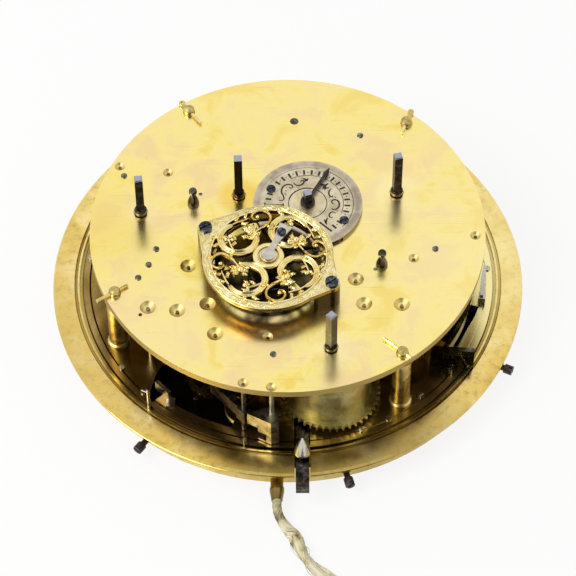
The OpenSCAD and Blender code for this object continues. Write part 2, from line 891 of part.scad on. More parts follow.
module quarter_arbor() {
  color("dimgray")
    at(A4)
      winding_arbor(low_square_h, 45);
}

module alarm_arbor() {
  color("dimgray")
    at(A1)
      winding_arbor(low_square_h, 6);
}

// Fusee with its winding square; the great wheel turns with it
module fusee() {
  color("gold")
    at(A2)
      rotate_extrude()
        polygon(concat(
          [[0, fusee_z0 - 0.6], [fusee_r0 + 0.5, fusee_z0 - 0.6], [fusee_r0 + 0.5, fusee_z0 - 0.1],
           [fusee_r0 - 0.4, fusee_z0]],
          [for (i = [0:6]) let (z = fusee_z0 + 0.3 + i * fusee_pitch)
            each [[fusee_r(z), z], [fusee_r(z + 1.15) - 0.02, z + 1.15], [fusee_r(z + 1.35) - 0.5, z + 1.35]]],
          [[fusee_r1 - 1, fusee_z1], [0, fusee_z1]]));
  color("dimgray")
    at(A2) {
      rod(wind_foot_r, pp0, pp1 + run);
      rod(wind_r, pp1 + run, tp1 + 0.9);
      tube(1.75, 0.5, tp1 + 0.9, tp1 + 2.2);
      rotate(3)
        translate([-square_w / 2, -square_w / 2, tp1 + 0.9])
          cube([square_w, square_w, high_square_h - 0.9]);
    }
}

fw_z0 = 14.8;
fw_z1 = 16.2;
module fusee_wheel() {
  color("darkgoldenrod")
    at(A2)
      difference() {
        crossed_wheel(60, pitch_r(dist(A2, C), 60, 12), fw_z0, fw_z1, ang(A2, C), 7, 5, 2.4);
        rod(wind_r + 0.02, fw_z0 - 1, fw_z1 + 1);
      }
}

module going_barrel() {
  color("gold")
    at(G)
      difference() {
        rotate_extrude()
          polygon([[0, 15.4], [barrel_r - 0.8, 15.4], [barrel_r, 16], [barrel_r, 30.8],
                   [barrel_r - 0.5, 31.4], [barrel_r - 3, 31.4], [barrel_r - 3.2, 31], [0, 31]]);
        rod(wind_r + 0.07, 14, 33);
      }
}

module going_arbor() {
  color("gray")
    at(G) {
      rod(wind_r, pp1 + run, tp0 - run);
      rod(1.33, tp0 - run, tp1 - 0.05);
      rod(1.63, ratchet_z0, pp1 + run);
      winding_ratchet();
    }
}

// Going train
module centre_wheel() {
  color("gold") {
    crossed_wheel(54, pitch_r(16, 54, 10), 11.3, 12.3, ang(C, T));
    leaves(12, pitch_r(dist(A2, C), 12, 60), 14.4, 16.8, ang(C, A2) + 15);
    rod(1, 11.3, tp0 - run);
    rod(pivot_r, tp0 - run, tp1 - 0.5);
    rod(1.2, 1.6, 11.4);
  }
}

module third_wheel() {
  color("gold")
    at(T) {
      leaves(10, pitch_r(16, 10, 54), 11.05, 13.2, ang(T, C) + 18);
      crossed_wheel(45, pitch_r(dist(T, K), 45, 10), 14, 15, ang(T, K), 2.2);
      arbor();
    }
}

contrate_n = 42;
contrate_rp = 8;
contrate_z = 21.2;
module contrate_wheel() {
  color("gold")
    at(K) {
      leaves(10, pitch_r(dist(T, K), 10, 45), 13.6, 15.6, ang(K, T) + 18);
      difference() {
        rod(8.5, contrate_z, contrate_z + 2.6);
        rod(7.5, contrate_z + 0.9, contrate_z + 3);
        windows(2, 6.6, contrate_z, contrate_z + 1, 4, 1.4);
      }
      for (i = [0:contrate_n - 1])
        rotate(crown_a + 180 + i * 360 / contrate_n)
          translate([contrate_rp, 0, contrate_z + 2.5])
            rotate([90, 0, 90])
              linear_extrude(0.9, center = true)
                polygon([[-0.24, 0], [0.24, 0], [0.1, 1.1], [-0.1, 1.1]]);
      arbor();
    }
}

// Crown wheel: fifteen slanted teeth on the face that looks at the verge
crown_n = 15;
crown_r = 5;
module crown_wheel() {
  color("gold")
    at(V, crown_z)
      rotate(crown_a)
        rotate([0, 90, 0]) {
          difference() {
            rod(crown_r, 4.9, 6.9);
            rod(crown_r - 0.8, 4.8, 5.9);
            windows(1.6, crown_r - 1.4, 5.8, 6.9, 3, 1.1);
          }
          for (i = [0:crown_n - 1])
            rotate(i * 360 / crown_n)
              translate([crown_r - 0.8, 0, 0])
                rotate([90, 0, 90])
                  linear_extrude(0.75)
                    polygon([[-0.75, 5.1], [0.85, 5.1], [0.95, 2.15], [0.8, 2.15], [0.2, 3.8]]);
          rod(0.7, 4.6, 21.4);
          rod(0.35, 3.2, 22.9);
          leaves(7, contrate_rp * 7 / contrate_n, 17.9, 20.4, 180 / 7);
        }
}

// Verge: the balance's staff with two pallets at the crown wheel's top and bottom
module verge() {
  color("silver")
    at(V) {
      rod(0.35, 18.9, 20.5);
      rod(0.5, 20.4, bz0 - 0.3);
      rod(0.33, bz0 - 0.4, bz1 - 0.05);
      rod(1.6, spring_z0 - 0.4, bz0 - 2.6);
      for (i = [0, 1])
        rotate(crown_a + 130 + i * 100)
          translate([0, -0.2, crown_z + (i == 0 ? crown_r : -crown_r) - 0.7])
            cube([1.95, 0.4, 1.4]);
    }
}

balance_z0 = bz0 - 2.5;
balance_z1 = bz0 - 1.3;
module balance_wheel() {
  color("gold")
    at(V) {
      difference() {
        rod(balance_r, balance_z0 - 0.3, balance_z1, $fn = 96);
        rod(balance_r - 2, balance_z0 - 1, balance_z1 + 1, $fn = 96);
      }
      difference() {
        translate([0, 0, balance_z0])
          linear_extrude(0.8)
            union() {
              circle(2.6);
              for (i = [0:2])
                rotate(70 + i * 120)
                  translate([0, -0.9])
                    square([balance_r - 1, 1.8]);
            }
        rod(0.55, balance_z0 - 1, balance_z1 + 1);
      }
    }
}

// Regulator: the square arbor's pinion drives a toothed rack round the balance
rack_n = 100;
reg_n = 14;
rack_rp = pitch_r(dist(V, R), rack_n, reg_n);
rack_z0 = tp1 + 0.1;
rack_z1 = tp1 + 0.6;
rack_low = 11;
rack_high = 12;
rack_arm_a = ang(V, R) - 35;
regulator_square_h = 4.6;
module regulator_rack() {
  color("gray")
    at(V, rack_z0)
      linear_extrude(rack_z1 - rack_z0)
        union() {
          intersection() {
            difference() {
              polygon(tooth_points(rack_n, rack_rp, 0.3, 0.5, 0.16, 0.5, ang(V, R)));
              circle(21.8);
            }
            polygon([[0, 0], for (i = [-rack_low:rack_high]) polar(30, ang(V, R) + (i + 0.5) * 3.6)]);
          }
          rotate(rack_arm_a)
            translate([10.6, -0.9])
              square([11.6, 1.8]);
        }
  color("gray")
    at(V + polar(10.6, rack_arm_a))
      rod(0.6, rack_z0, spring_z1);
}

module regulator_arbor() {
  color("dimgray")
    at(R) {
      leaves(reg_n, pitch_r(dist(V, R), reg_n, rack_n), rack_z0, rack_z1, ang(R, V) + 180 / reg_n);
      rod(0.83, tp0 + 0.5, rack_z1 + 0.1);
      rod(0.97, rack_z0, regulator_z1 + 0.1);
      rod(2.3, regulator_z1 + 0.05, regulator_z1 + 0.9);
      rotate(pointer_angle - 45)
        translate([-1.1, -1.1, regulator_z1 + 0.8])
          cube([2.2, 2.2, regulator_square_h]);
    }
}

module regulator_pointer() {
  color("darkslategray")
    at(R, regulator_z1 + 0.9)
      rotate(pointer_angle)
        linear_extrude(0.5)
          difference() {
            union() {
              circle(2.2);
              polygon([[1.5, -0.55], [pointer_l - 3.4, -0.5], [pointer_l - 2.6, -0.95], [pointer_l, 0],
                       [pointer_l - 2.6, 0.95], [pointer_l - 3.4, 0.5], [1.5, 0.55]]);
            }
            rotate(-45)
              square(2.25, center = true);
          }
}

// Barrels of the three striking trains; each turns on its winding arbor
module barrel(n, rp, r, turn) {
  difference() {
    union() {
      teeth(n, rp, 13, 14.4, turn);
      rotate_extrude()
        polygon([[0, 14.3], [r, 14.3], [r, 30.8], [r - 0.5, 31.4], [r - 2.4, 31.4], [r - 2.7, 31], [0, 31]]);
    }
    rod(wind_r + 0.07, 12, 33);
  }
}

module hour_barrel() {
  color("gold")
    at(A3)
      barrel(60, pitch_r(dist(A3, H4), 60, 14), 13, ang(A3, H4));
}

module hour_pin_wheel() {
  color("gold")
    at(H4) {
      leaves(14, pitch_r(dist(A3, H4), 14, 60), 12.7, 14.7, ang(H4, A3) + 180 / 14);
      crossed_wheel(56, pitch_r(dist(H4, S8), 56, 10), 11.3, 12.3, ang(H4, S8), 2.6, 6);
      arbor();
    }
}

module hour_third_wheel() {
  color("gold")
    at(S8) {
      leaves(10, pitch_r(dist(H4, S8), 10, 56), 11.05, 13.2, ang(S8, H4) + 18);
      crossed_wheel(50, pitch_r(dist(S8, S7), 50, 10), 17, 18, ang(S8, S7), 2);
      arbor();
    }
}

module fly(r, z0, z1, turn) {
  rotate(turn)
    translate([-r, -0.25, z0])
      cube([2 * r, 0.5, z1 - z0]);
  rod(1.2, z0 + 1, z1 - 1);
}

module hour_fly() {
  color("gold")
    at(S7) {
      leaves(10, pitch_r(dist(S8, S7), 10, 50), 16.6, 18.4, ang(S7, S8) + 18);
      fly(5.6, 25.6, 31.6, 20);
      arbor();
    }
}

module quarter_barrel() {
  color("gold")
    at(A4)
      barrel(46, pitch_r(dist(A4, H5), 46, 14), 12.4, ang(A4, H5));
}

module quarter_pin_wheel() {
  color("gold")
    at(H5) {
      leaves(14, pitch_r(dist(A4, H5), 14, 46), 12.7, 14.7, ang(H5, A4) + 180 / 14);
      crossed_wheel(54, pitch_r(dist(H5, S5), 54, 10), 11.3, 12.3, ang(H5, S5));
      arbor();
    }
}

module quarter_third_wheel() {
  color("gold")
    at(S5) {
      leaves(10, pitch_r(dist(H5, S5), 10, 54), 11.05, 12.8, ang(S5, H5) + 18);
      crossed_wheel(50, pitch_r(dist(S5, S4), 50, 10), 14, 15, ang(S5, S4), 2);
      arbor();
    }
}

module quarter_fourth_wheel() {
  color("gold")
    at(S4) {
      leaves(10, pitch_r(dist(S5, S4), 10, 50), 13.6, 15.4, ang(S4, S5) + 18);
      crossed_wheel(42, pitch_r(dist(S4, S3), 42, 8), 17, 18, ang(S4, S3), 2);
      arbor();
    }
}

module quarter_fly() {
  color("gold")
    at(S3) {
      leaves(8, pitch_r(dist(S4, S3), 8, 42), 16.6, 18.4, ang(S3, S4) + 22.5);
      fly(5.4, 21, 31, 40);
      arbor();
    }
}

module alarm_barrel() {
  color("gold")
    at(A1)
      barrel(50, pitch_r(dist(A1, H2), 50, 10), 12.4, ang(A1, H2));
}

// Alarm's pointed escape wheel, which rocks the hammer's arbor
module alarm_wheel() {
  color("gold")
    at(H2) {
      leaves(10, pitch_r(dist(A1, H2), 10, 50), 12.7, 14.7, ang(H2, A1) + 18);
      difference() {
        translate([0, 0, 11.3])
          linear_extrude(1)
            polygon([for (i = [0:20]) for (k = [[10.6, 0], [12.6, 0.12], [12.6, 0.2], [10.6, 0.5]])
              polar(k[0], ang(H2, H1) + (i + k[1] - 0.66) * 360 / 21)]);
        windows(2.6, 9.2, 11.3, 12.3, 4, 1.6);
      }
      arbor();
    }
}

module alarm_hammer() {
  color("gray") {
    at(H1) {
      arbor();
      rotate(ang(H1, H2))
        translate([0, -0.7, 11.1])
          cube([2.6, 1.4, 1.4]);
    }
    translate([0, 0, 17])
      rotate(133)
        rotate_extrude(angle = 21.8, $fn = 128)
          translate([58.3, 0])
            square([1.6, 3]);
    rotate(133)
      translate([57, -2.2, 16])
        cube([4.4, 4.4, 7]);
  }
}

module hour_hammer() {
  color("gray") {
    at(H3)
      arbor();
    translate([0, 0, 14])
      rotate(-36)
        rotate_extrude(angle = 33.6, $fn = 128)
          translate([58, 0])
            square([1.5, 3.4]);
    at([57.7, -35.6])
      rotate(-5)
        translate([-13.6, 0, 11.35])
          cube([13.6, 1.5, 7.3]);
  }
}

module left_hammer() {
  color("gray")
    at(H6) {
      arbor();
      rotate(132.5)
        translate([0, -0.9, 16.4])
          cube([14.4, 1.8, 5.4]);
      rotate(132.5)
        translate([-1.8, -1.4, 16.4])
          cube([3.6, 2.8, 5.4]);
    }
}

module block_hammer() {
  color("lightgray")
    difference() {
      union() {
        at(H7)
          arbor();
        translate([0, 0, 11.1])
          linear_extrude(11.3)
            polygon([[-12.6, -60.6], [-5.4, -64.4], [-3, -63.8], [-3.4, -58.6], [-6.6, -58.3]]);
      }
      translate([-14, -66, 11])
        cube([4.6, 10, 6.2]);
      translate([-14, -66, 11.8])
        cube([7.2, 10, 3.4]);
    }
}

// Motion work between the dial and the pillar plate, and the hands under the dial
module cannon_pinion() {
  color("silver")
    difference() {
      union() {
        leaves(12, 2.7, 6.7, 7.9, ang(C, M) + 15);
        rod(1.75, 1.9, 6.8);
      }
      rod(1.26, 0, 9);
    }
}

module minute_wheel() {
  color("gold")
    at(M)
      difference() {
        union() {
          teeth(36, 8.1, 6.9, 7.7, ang(M, C));
          leaves(10, pitch_r(10.8, 10, 40), 5.5, 7, ang(M, C) + 18);
        }
        windows(3, 6.1, 6.9, 7.7, 3, 1.6);
        rod(0.77, 5, 9);
      }
}

module hour_wheel() {
  color("gold")
    difference() {
      union() {
        teeth(40, pitch_r(10.8, 40, 10), 5.6, 6.4, ang(C, M));
        rod(2.6, 2.9, 6.4);
      }
      rod(1.83, 2, 8);
    }
}

module hand2(l, w, eye) {
  circle(eye);
  polygon([[0, -w / 2], [l * 0.62, -w / 2], [l * 0.72, -w * 1.5], [l, 0], [l * 0.72, w * 1.5],
           [l * 0.62, w / 2], [0, w / 2]]);
}

module hour_hand() {
  color("midnightblue")
    translate([0, 0, 2.9])
      linear_extrude(0.55)
        difference() {
          rotate(114.2)
            hand2(34, 1.6, 4);
          circle(2.62);
        }
}

module minute_hand() {
  color("midnightblue")
    translate([0, 0, 1.9])
      linear_extrude(0.5)
        difference() {
          rotate(20)
            hand2(52, 1.2, 3.2);
          circle(1.78);
        }
}

module alarm_disc() {
  color("silver")
    tube(13, 2.7, 3.6, 4.1);
}

module repeat_pulley() {
  color("darkgoldenrod")
    at(P)
      difference() {
        rotate_extrude()
          polygon([[0, 5.5], [8, 5.5], [8, 5.9], [7, 6.4], [7, 7], [8, 7.5], [8, 7.9], [0, 7.9]]);
        rod(0.77, 5, 9);
      }
}

module release_lever() {
  color("gray")
    at(S1) {
      arbor();
      rotate(240)
        translate([0, -0.8, 25])
          cube([13, 1.6, 1.2]);
      rotate(100)
        translate([0, -0.8, 19])
          cube([8, 1.6, 1.2]);
    }
}

dial_ring();
rim_screws();
dial();
pillar_plate();
pillars();
top_plate();
pillar_pins();
plate_studs();
plate_pins();
blued_screws();
regulator_dial();
balance_bridge();
coqueret();
potences();
balance_spring();
fusee_chain();
plate_springs();
cord_tube();
repeat_cord();
cord_knot();
latch_bolt();
fusee();
fusee_wheel();
going_barrel();
going_arbor();
centre_wheel();
third_wheel();
contrate_wheel();
crown_wheel();
verge();
balance_wheel();
regulator_rack();
regulator_arbor();
regulator_pointer();
hour_barrel();
hour_arbor();
hour_pin_wheel();
hour_third_wheel();
hour_fly();
quarter_barrel();
quarter_arbor();
quarter_pin_wheel();
quarter_third_wheel();
quarter_fourth_wheel();
quarter_fly();
alarm_barrel();
alarm_arbor();
alarm_wheel();
alarm_hammer();
hour_hammer();
left_hammer();
block_hammer();
cannon_pinion();
minute_wheel();
hour_wheel();
hour_hand();
minute_hand();
alarm_disc();
repeat_pulley();
release_lever();
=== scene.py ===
# Movement of a coach clock, lying on its dial: finishes, silk cord and fine work
import math

import bpy
import numpy as np
from mathutils import Matrix, Vector


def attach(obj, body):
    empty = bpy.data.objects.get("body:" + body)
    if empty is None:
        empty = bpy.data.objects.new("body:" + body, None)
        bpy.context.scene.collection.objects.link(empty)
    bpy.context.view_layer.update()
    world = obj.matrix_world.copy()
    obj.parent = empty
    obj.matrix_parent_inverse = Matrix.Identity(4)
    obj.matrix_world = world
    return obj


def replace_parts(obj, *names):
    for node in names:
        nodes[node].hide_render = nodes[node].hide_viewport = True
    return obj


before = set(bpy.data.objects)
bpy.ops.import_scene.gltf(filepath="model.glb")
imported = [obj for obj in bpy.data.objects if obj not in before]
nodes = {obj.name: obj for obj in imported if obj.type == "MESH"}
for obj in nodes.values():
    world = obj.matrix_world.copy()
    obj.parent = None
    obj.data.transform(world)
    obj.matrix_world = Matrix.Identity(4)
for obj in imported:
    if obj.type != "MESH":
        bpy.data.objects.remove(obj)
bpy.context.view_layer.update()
scene = bpy.context.scene
mm = 0.001


def hexColour(text):
    # sRGB hex to the linear colour that a shader socket takes
    parts = [int(text[i:i + 2], 16) / 255 for i in (1, 3, 5)]
    return tuple(c / 12.92 if c <= 0.04045 else ((c + 0.055) / 1.055) ** 2.4 for c in parts) + (1.0,)


def perMm(size):
    # texture scale that gives features about this many millimetres wide
    return 1000 / size


def addNode(tree, kind, inputs=(), stops=(), **settings):
    # one node with its settings, values and links; stops are a ramp's places and colours
    node = tree.nodes.new(kind)
    for name, value in settings.items():
        setattr(node, name, value)
    for key, value in dict(inputs).items():
        if isinstance(value, bpy.types.NodeSocket):
            tree.links.new(value, node.inputs[key])
        else:
            node.inputs[key].default_value = value
    for i, (place, colour) in enumerate(stops):
        element = node.color_ramp.elements[i] if i < 2 else node.color_ramp.elements.new(place)
        element.position = place
        element.color = hexColour(colour) if isinstance(colour, str) else (colour,) * 3 + (1,)
    return node


def newMaterial(name):
    # a plain material, with its node tree and its shader
    material = bpy.data.materials.new(name)
    material.use_nodes = True
    return material, material.node_tree, material.node_tree.nodes["Principled BSDF"]


def unit(v):
    # each vector divided by its length
    return v / np.maximum(np.linalg.norm(v, axis=-1, keepdims=True), 1e-12)


def polar(radius, degrees):
    # x is the radius times the cosine, y the radius times the sine
    a = np.radians(degrees)
    return np.stack([radius * np.cos(a), radius * np.sin(a)], axis=-1)


# Camera: a long lens, looking along +Y and down, as the photograph does
camera = {"focal": 2705.8, "image": 576, "sensor": 36.0, "distance": 0.86615, "elevation": 53.23,
          "roll": -0.344, "target": (0.00004, -0.0024, 0.008), "clip": (0.01, 20)}


def makeCamera():
    # it stands at target + distance * (0, -cos elevation, sin elevation), rolled about its own axis
    data = bpy.data.cameras.new("camera")
    data.sensor_width = camera["sensor"]
    data.lens = camera["focal"] * camera["sensor"] / camera["image"]
    data.clip_start, data.clip_end = camera["clip"]
    el, roll = math.radians(camera["elevation"]), math.radians(camera["roll"])
    back = Vector((0, -math.cos(el), math.sin(el)))
    right = Vector((1, 0, 0)) * math.cos(roll) + Vector((0, math.sin(el), math.cos(el))) * math.sin(roll)
    up = back.cross(right)
    place = Vector(camera["target"]) + back * camera["distance"]
    holder = bpy.data.objects.new("camera", data)
    scene.collection.objects.link(holder)
    holder.matrix_world = Matrix((right, up, back)).transposed().to_4x4()
    holder.location = place
    scene.camera = holder


makeCamera()
print("camera set")


# Meshes
def addPiece(name, points, faces, material, body="movement", smooth=True, attributes=()):
    # points in millimetres; attributes are one number a point, by name
    mesh = bpy.data.meshes.new(name)
    mesh.from_pydata((np.asarray(points) * mm).tolist(), [], [list(f) for f in faces])
    for key, values in dict(attributes).items():
        layer = mesh.attributes.new(key, "FLOAT", "POINT")
        layer.data.foreach_set("value", np.asarray(values, np.float32).ravel())
    mesh.materials.append(material)
    mesh.polygons.foreach_set("use_smooth", [smooth] * len(mesh.polygons))
    mesh.update()
    piece = bpy.data.objects.new(name, mesh)
    scene.collection.objects.link(piece)
    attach(piece, body)
    return piece


def gridFaces(rows, columns, rowLoop=False, columnLoop=False, start=0):
    # quads of a grid of points laid out row by row; a loop joins its last line to its first
    i = np.arange(rows if rowLoop else rows - 1)[:, None]
    j = np.arange(columns if columnLoop else columns - 1)[None, :]
    a = i * columns + j
    b = i * columns + (j + 1) % columns
    c = ((i + 1) % rows) * columns + (j + 1) % columns
    d = ((i + 1) % rows) * columns + j
    return (np.stack([a, b, c, d], axis=-1).reshape(-1, 4) + start).tolist()


def joined(parts):
    # several point and face lists as one
    points, faces, count = [], [], 0
    for p, f in parts:
        points.append(p)
        faces += [[k + count for k in face] for face in f]
        count += len(p)
    return np.concatenate(points), faces


def smoothPath(points, step):
    # Catmull-Rom curve through the points, with a point about every step
    p = np.asarray(points, float)
    p = np.vstack([2 * p[0] - p[1], p, 2 * p[-1] - p[-2]])
    out = []
    for i in range(1, len(p) - 2):
        n = max(2, int(np.linalg.norm(p[i + 1] - p[i]) / step))
        t = np.arange(n)[:, None] / n
        a, b, c, d = p[i - 1], p[i], p[i + 1], p[i + 2]
        out.append(0.5 * (2 * b + (c - a) * t + (2 * a - 5 * b + 4 * c - d) * t**2
                          + (3 * b - a - 3 * c + d) * t**3))
    return np.vstack(out + [p[-2][None]])


def along(line):
    # length run from the first point to each point
    return np.concatenate([[0], np.cumsum(np.linalg.norm(np.diff(line, axis=0), axis=1))])


def sideAndUp(line):
    # two directions square to the line at each point: level to its left, and the rest upwards
    t = unit(np.gradient(line, axis=0))
    side = unit(np.cross([0, 0, 1], t))
    return side, np.cross(t, side)


def closedTube(centre, a, b, across, upward, sides):
    # elliptical section carried along a line: centre + a cos(phi) across + b sin(phi) upward,
    # closed by a point at each end, where the faces run the other way round from the sides
    phi = np.arange(sides) * 2 * math.pi / sides
    ring = (centre[:, None, :] + np.cos(phi)[None, :, None] * (a[:, None] * across)[:, None, :]
            + np.sin(phi)[None, :, None] * (b[:, None] * upward)[:, None, :])
    n = len(centre)
    points = np.concatenate([ring.reshape(-1, 3), centre[:1], centre[-1:]])
    faces = [f[::-1] for f in gridFaces(n, sides, columnLoop=True)]
    first, last = n * sides, n * sides + 1
    faces += [[first, (j + 1) % sides, j] for j in range(sides)]
    faces += [[last, (n - 1) * sides + j, (n - 1) * sides + (j + 1) % sides] for j in range(sides)]
    return points, faces


def turnedOut(points, faces):
    # the same faces, reversed if the closed shape's volume says that they point inwards
    p = np.asarray(points) - np.mean(points, axis=0)
    quads = np.array([f for f in faces if len(f) == 4])
    corners = p[quads]
    volume = np.sum(np.cross(corners[:, 0], corners[:, 1]) * corners[:, 2])
    volume += np.sum(np.cross(corners[:, 0], corners[:, 2]) * corners[:, 3])
    return points, ([list(f)[::-1] for f in faces] if volume < 0 else faces)


def band(line, half, low, high, section):
    # a moulded strip along a level line; a section point gives its shares of half width and height
    line, section = np.asarray(line, float), np.asarray(section, float)
    n, k = len(line), len(section)
    half, low, high = (np.broadcast_to(np.asarray(v, float), n) for v in (half, low, high))
    t = unit(np.gradient(line, axis=0))
    left = np.stack([-t[:, 1], t[:, 0]], axis=-1)
    xy = line[:, None, :] + (half[:, None] * section[None, :, 0])[:, :, None] * left[:, None, :]
    z = low[:, None] + section[None, :, 1] * (high - low)[:, None]
    points = np.concatenate([xy, z[:, :, None]], axis=-1).reshape(-1, 3)
    faces = gridFaces(n, k, columnLoop=True) + [list(range(k))[::-1], list(range((n - 1) * k, n * k))]
    return turnedOut(points, faces)


def slab(outline, low, high):
    # a flat shape between two heights
    k = len(outline)
    points = np.vstack([np.column_stack([outline, np.full(k, z)]) for z in (low, high)])
    faces = gridFaces(2, k, columnLoop=True) + [list(range(k))[::-1], list(range(k, 2 * k))]
    return turnedOut(points, faces)


def turnedXY(parts, degrees, place):
    # copies of parts turned about Z and set down at a place
    c, d = math.cos(math.radians(degrees)), math.sin(math.radians(degrees))
    out = []
    for points, faces in parts:
        p = np.array(points)
        out.append((np.column_stack([p[:, 0] * c - p[:, 1] * d + place[0],
                                     p[:, 0] * d + p[:, 1] * c + place[1], p[:, 2]]), faces))
    return out


sections = {
    "flat": [(-1, 0), (-1, 1), (1, 1), (1, 0)],
    "fluted": [(-1, 0), (-1, 0.55), (-0.9, 0.86), (-0.66, 1), (-0.42, 0.86), (-0.16, 0.6), (0.16, 0.56),
               (0.44, 0.7), (0.66, 0.88), (0.86, 0.8), (1, 0.5), (1, 0)],
    "round": [(-1, 0), (-0.96, 0.45), (-0.74, 0.8), (-0.4, 0.97), (0, 1.02), (0.4, 0.97), (0.74, 0.8),
              (0.96, 0.45), (1, 0)],
    "leaf": [(-1, 0), (-1, 0.4), (-0.62, 0.82), (-0.22, 1), (0, 0.66), (0.22, 1), (0.62, 0.82), (1, 0.4),
             (1, 0)],
}


def flatStrip(line, half, levels):
    # a strip of even thickness along a level line, between two heights
    return band(line, half, *levels, sections["flat"])


# Repeat cord: old white silk, still laid and brown where it leaves its tube, then opened into locks
cord = {
    "route": [
        (-3.7, -80, 3.7), (-3.7, -82.2, 3.7), (-3.2, -84.6, 3.1), (-1.9, -87, 2.2), (0, -89.4, 1.6),
        (1.6, -91.6, 1.5), (2.8, -94.6, 1.5), (4.2, -97.6, 1.5), (6, -100.6, 1.5), (8.2, -103.4, 1.5),
        (10.8, -106, 1.5), (14, -108.6, 1.5), (17.6, -111, 1.5), (21.4, -113.4, 1.5), (25, -116.2, 1.5),
        (28, -119.6, 1.5), (29.6, -123.6, 1.5), (29.6, -128, 1.5), (27.8, -132, 1.5), (24.6, -135, 1.5),
        (20.6, -136.6, 1.5), (16.2, -136.6, 1.5), (12, -135.2, 1.5), (8.8, -132.6, 1.5),
        (7, -130.4, 1.5), (7, -128, 1.5)],
    "diameter": 3.0, "laidLength": 6.5, "opensOver": 7, "frayedTo": 46.0, "closesOver": 14,
    "locks": 7, "lockSides": 12, "coreSides": 8, "hairs": 26, "hairSides": 5, "hairHalf": 0.09,
    "fibreStep": 2.3, "lowest": 0.03, "knot": (7, -125.6, 2.3), "knotRadius": 2.9, "knotRings": 260,
    "knotSides": 14, "knotLowest": 0.02,
}


def silk():
    # raw silk: fine parallel fibres with a sheen, cream where clean and brown where soiled
    material, tree, shader = newMaterial("silk_cord")
    place = addNode(tree, "ShaderNodeTexCoord").outputs["Object"]
    run = addNode(tree, "ShaderNodeAttribute", attribute_name="alongMm").outputs["Fac"]
    over = addNode(tree, "ShaderNodeAttribute", attribute_name="fibre").outputs["Fac"]
    fine = addNode(tree, "ShaderNodeCombineXYZ", {0: over, 1: addNode(
        tree, "ShaderNodeMath", {0: run, 1: 0.12}, operation="MULTIPLY").outputs[0]}).outputs[0]
    fibres = addNode(tree, "ShaderNodeTexNoise", {"Vector": fine, "Scale": 1.0, "Detail": 3})
    dirt = addNode(tree, "ShaderNodeTexNoise", {"Vector": place, "Scale": perMm(3.5), "Detail": 4})
    soiled = addNode(tree, "ShaderNodeValToRGB", {"Fac": dirt.outputs["Fac"]},
                     stops=[(0.44, "#f6edca"), (0.6, "#cfc087"), (0.7, "#75602f")])
    old = addNode(tree, "ShaderNodeValToRGB", {"Fac": dirt.outputs["Fac"]},
                  stops=[(0.35, "#d8d2a4"), (0.55, "#8a7a4a"), (0.7, "#4c3a1c")])
    fade = addNode(tree, "ShaderNodeMapRange", {0: run, 1: 4.5, 2: 9.0}).outputs[0]
    base = addNode(tree, "ShaderNodeMix", {0: fade, 6: old.outputs[0], 7: soiled.outputs[0]},
                   data_type="RGBA").outputs[2]
    shade = addNode(tree, "ShaderNodeMapRange", {0: fibres.outputs["Fac"], 1: 0.3, 2: 0.62, 3: 0.62, 4: 1.0})
    tint = addNode(tree, "ShaderNodeMix", {0: 1.0, 6: base, 7: shade.outputs[0]}, data_type="RGBA",
                   blend_type="MULTIPLY").outputs[2]
    tree.links.new(tint, shader.inputs["Base Color"])
    bump = addNode(tree, "ShaderNodeBump", {"Height": fibres.outputs["Fac"], "Strength": 0.6,
                                            "Distance": 0.15 * mm})
    tree.links.new(bump.outputs[0], shader.inputs["Normal"])
    shader.inputs["Roughness"].default_value = 0.52
    shader.inputs["Sheen Weight"].default_value = 0.35
    shader.inputs["Sheen Roughness"].default_value = 0.4
    return material


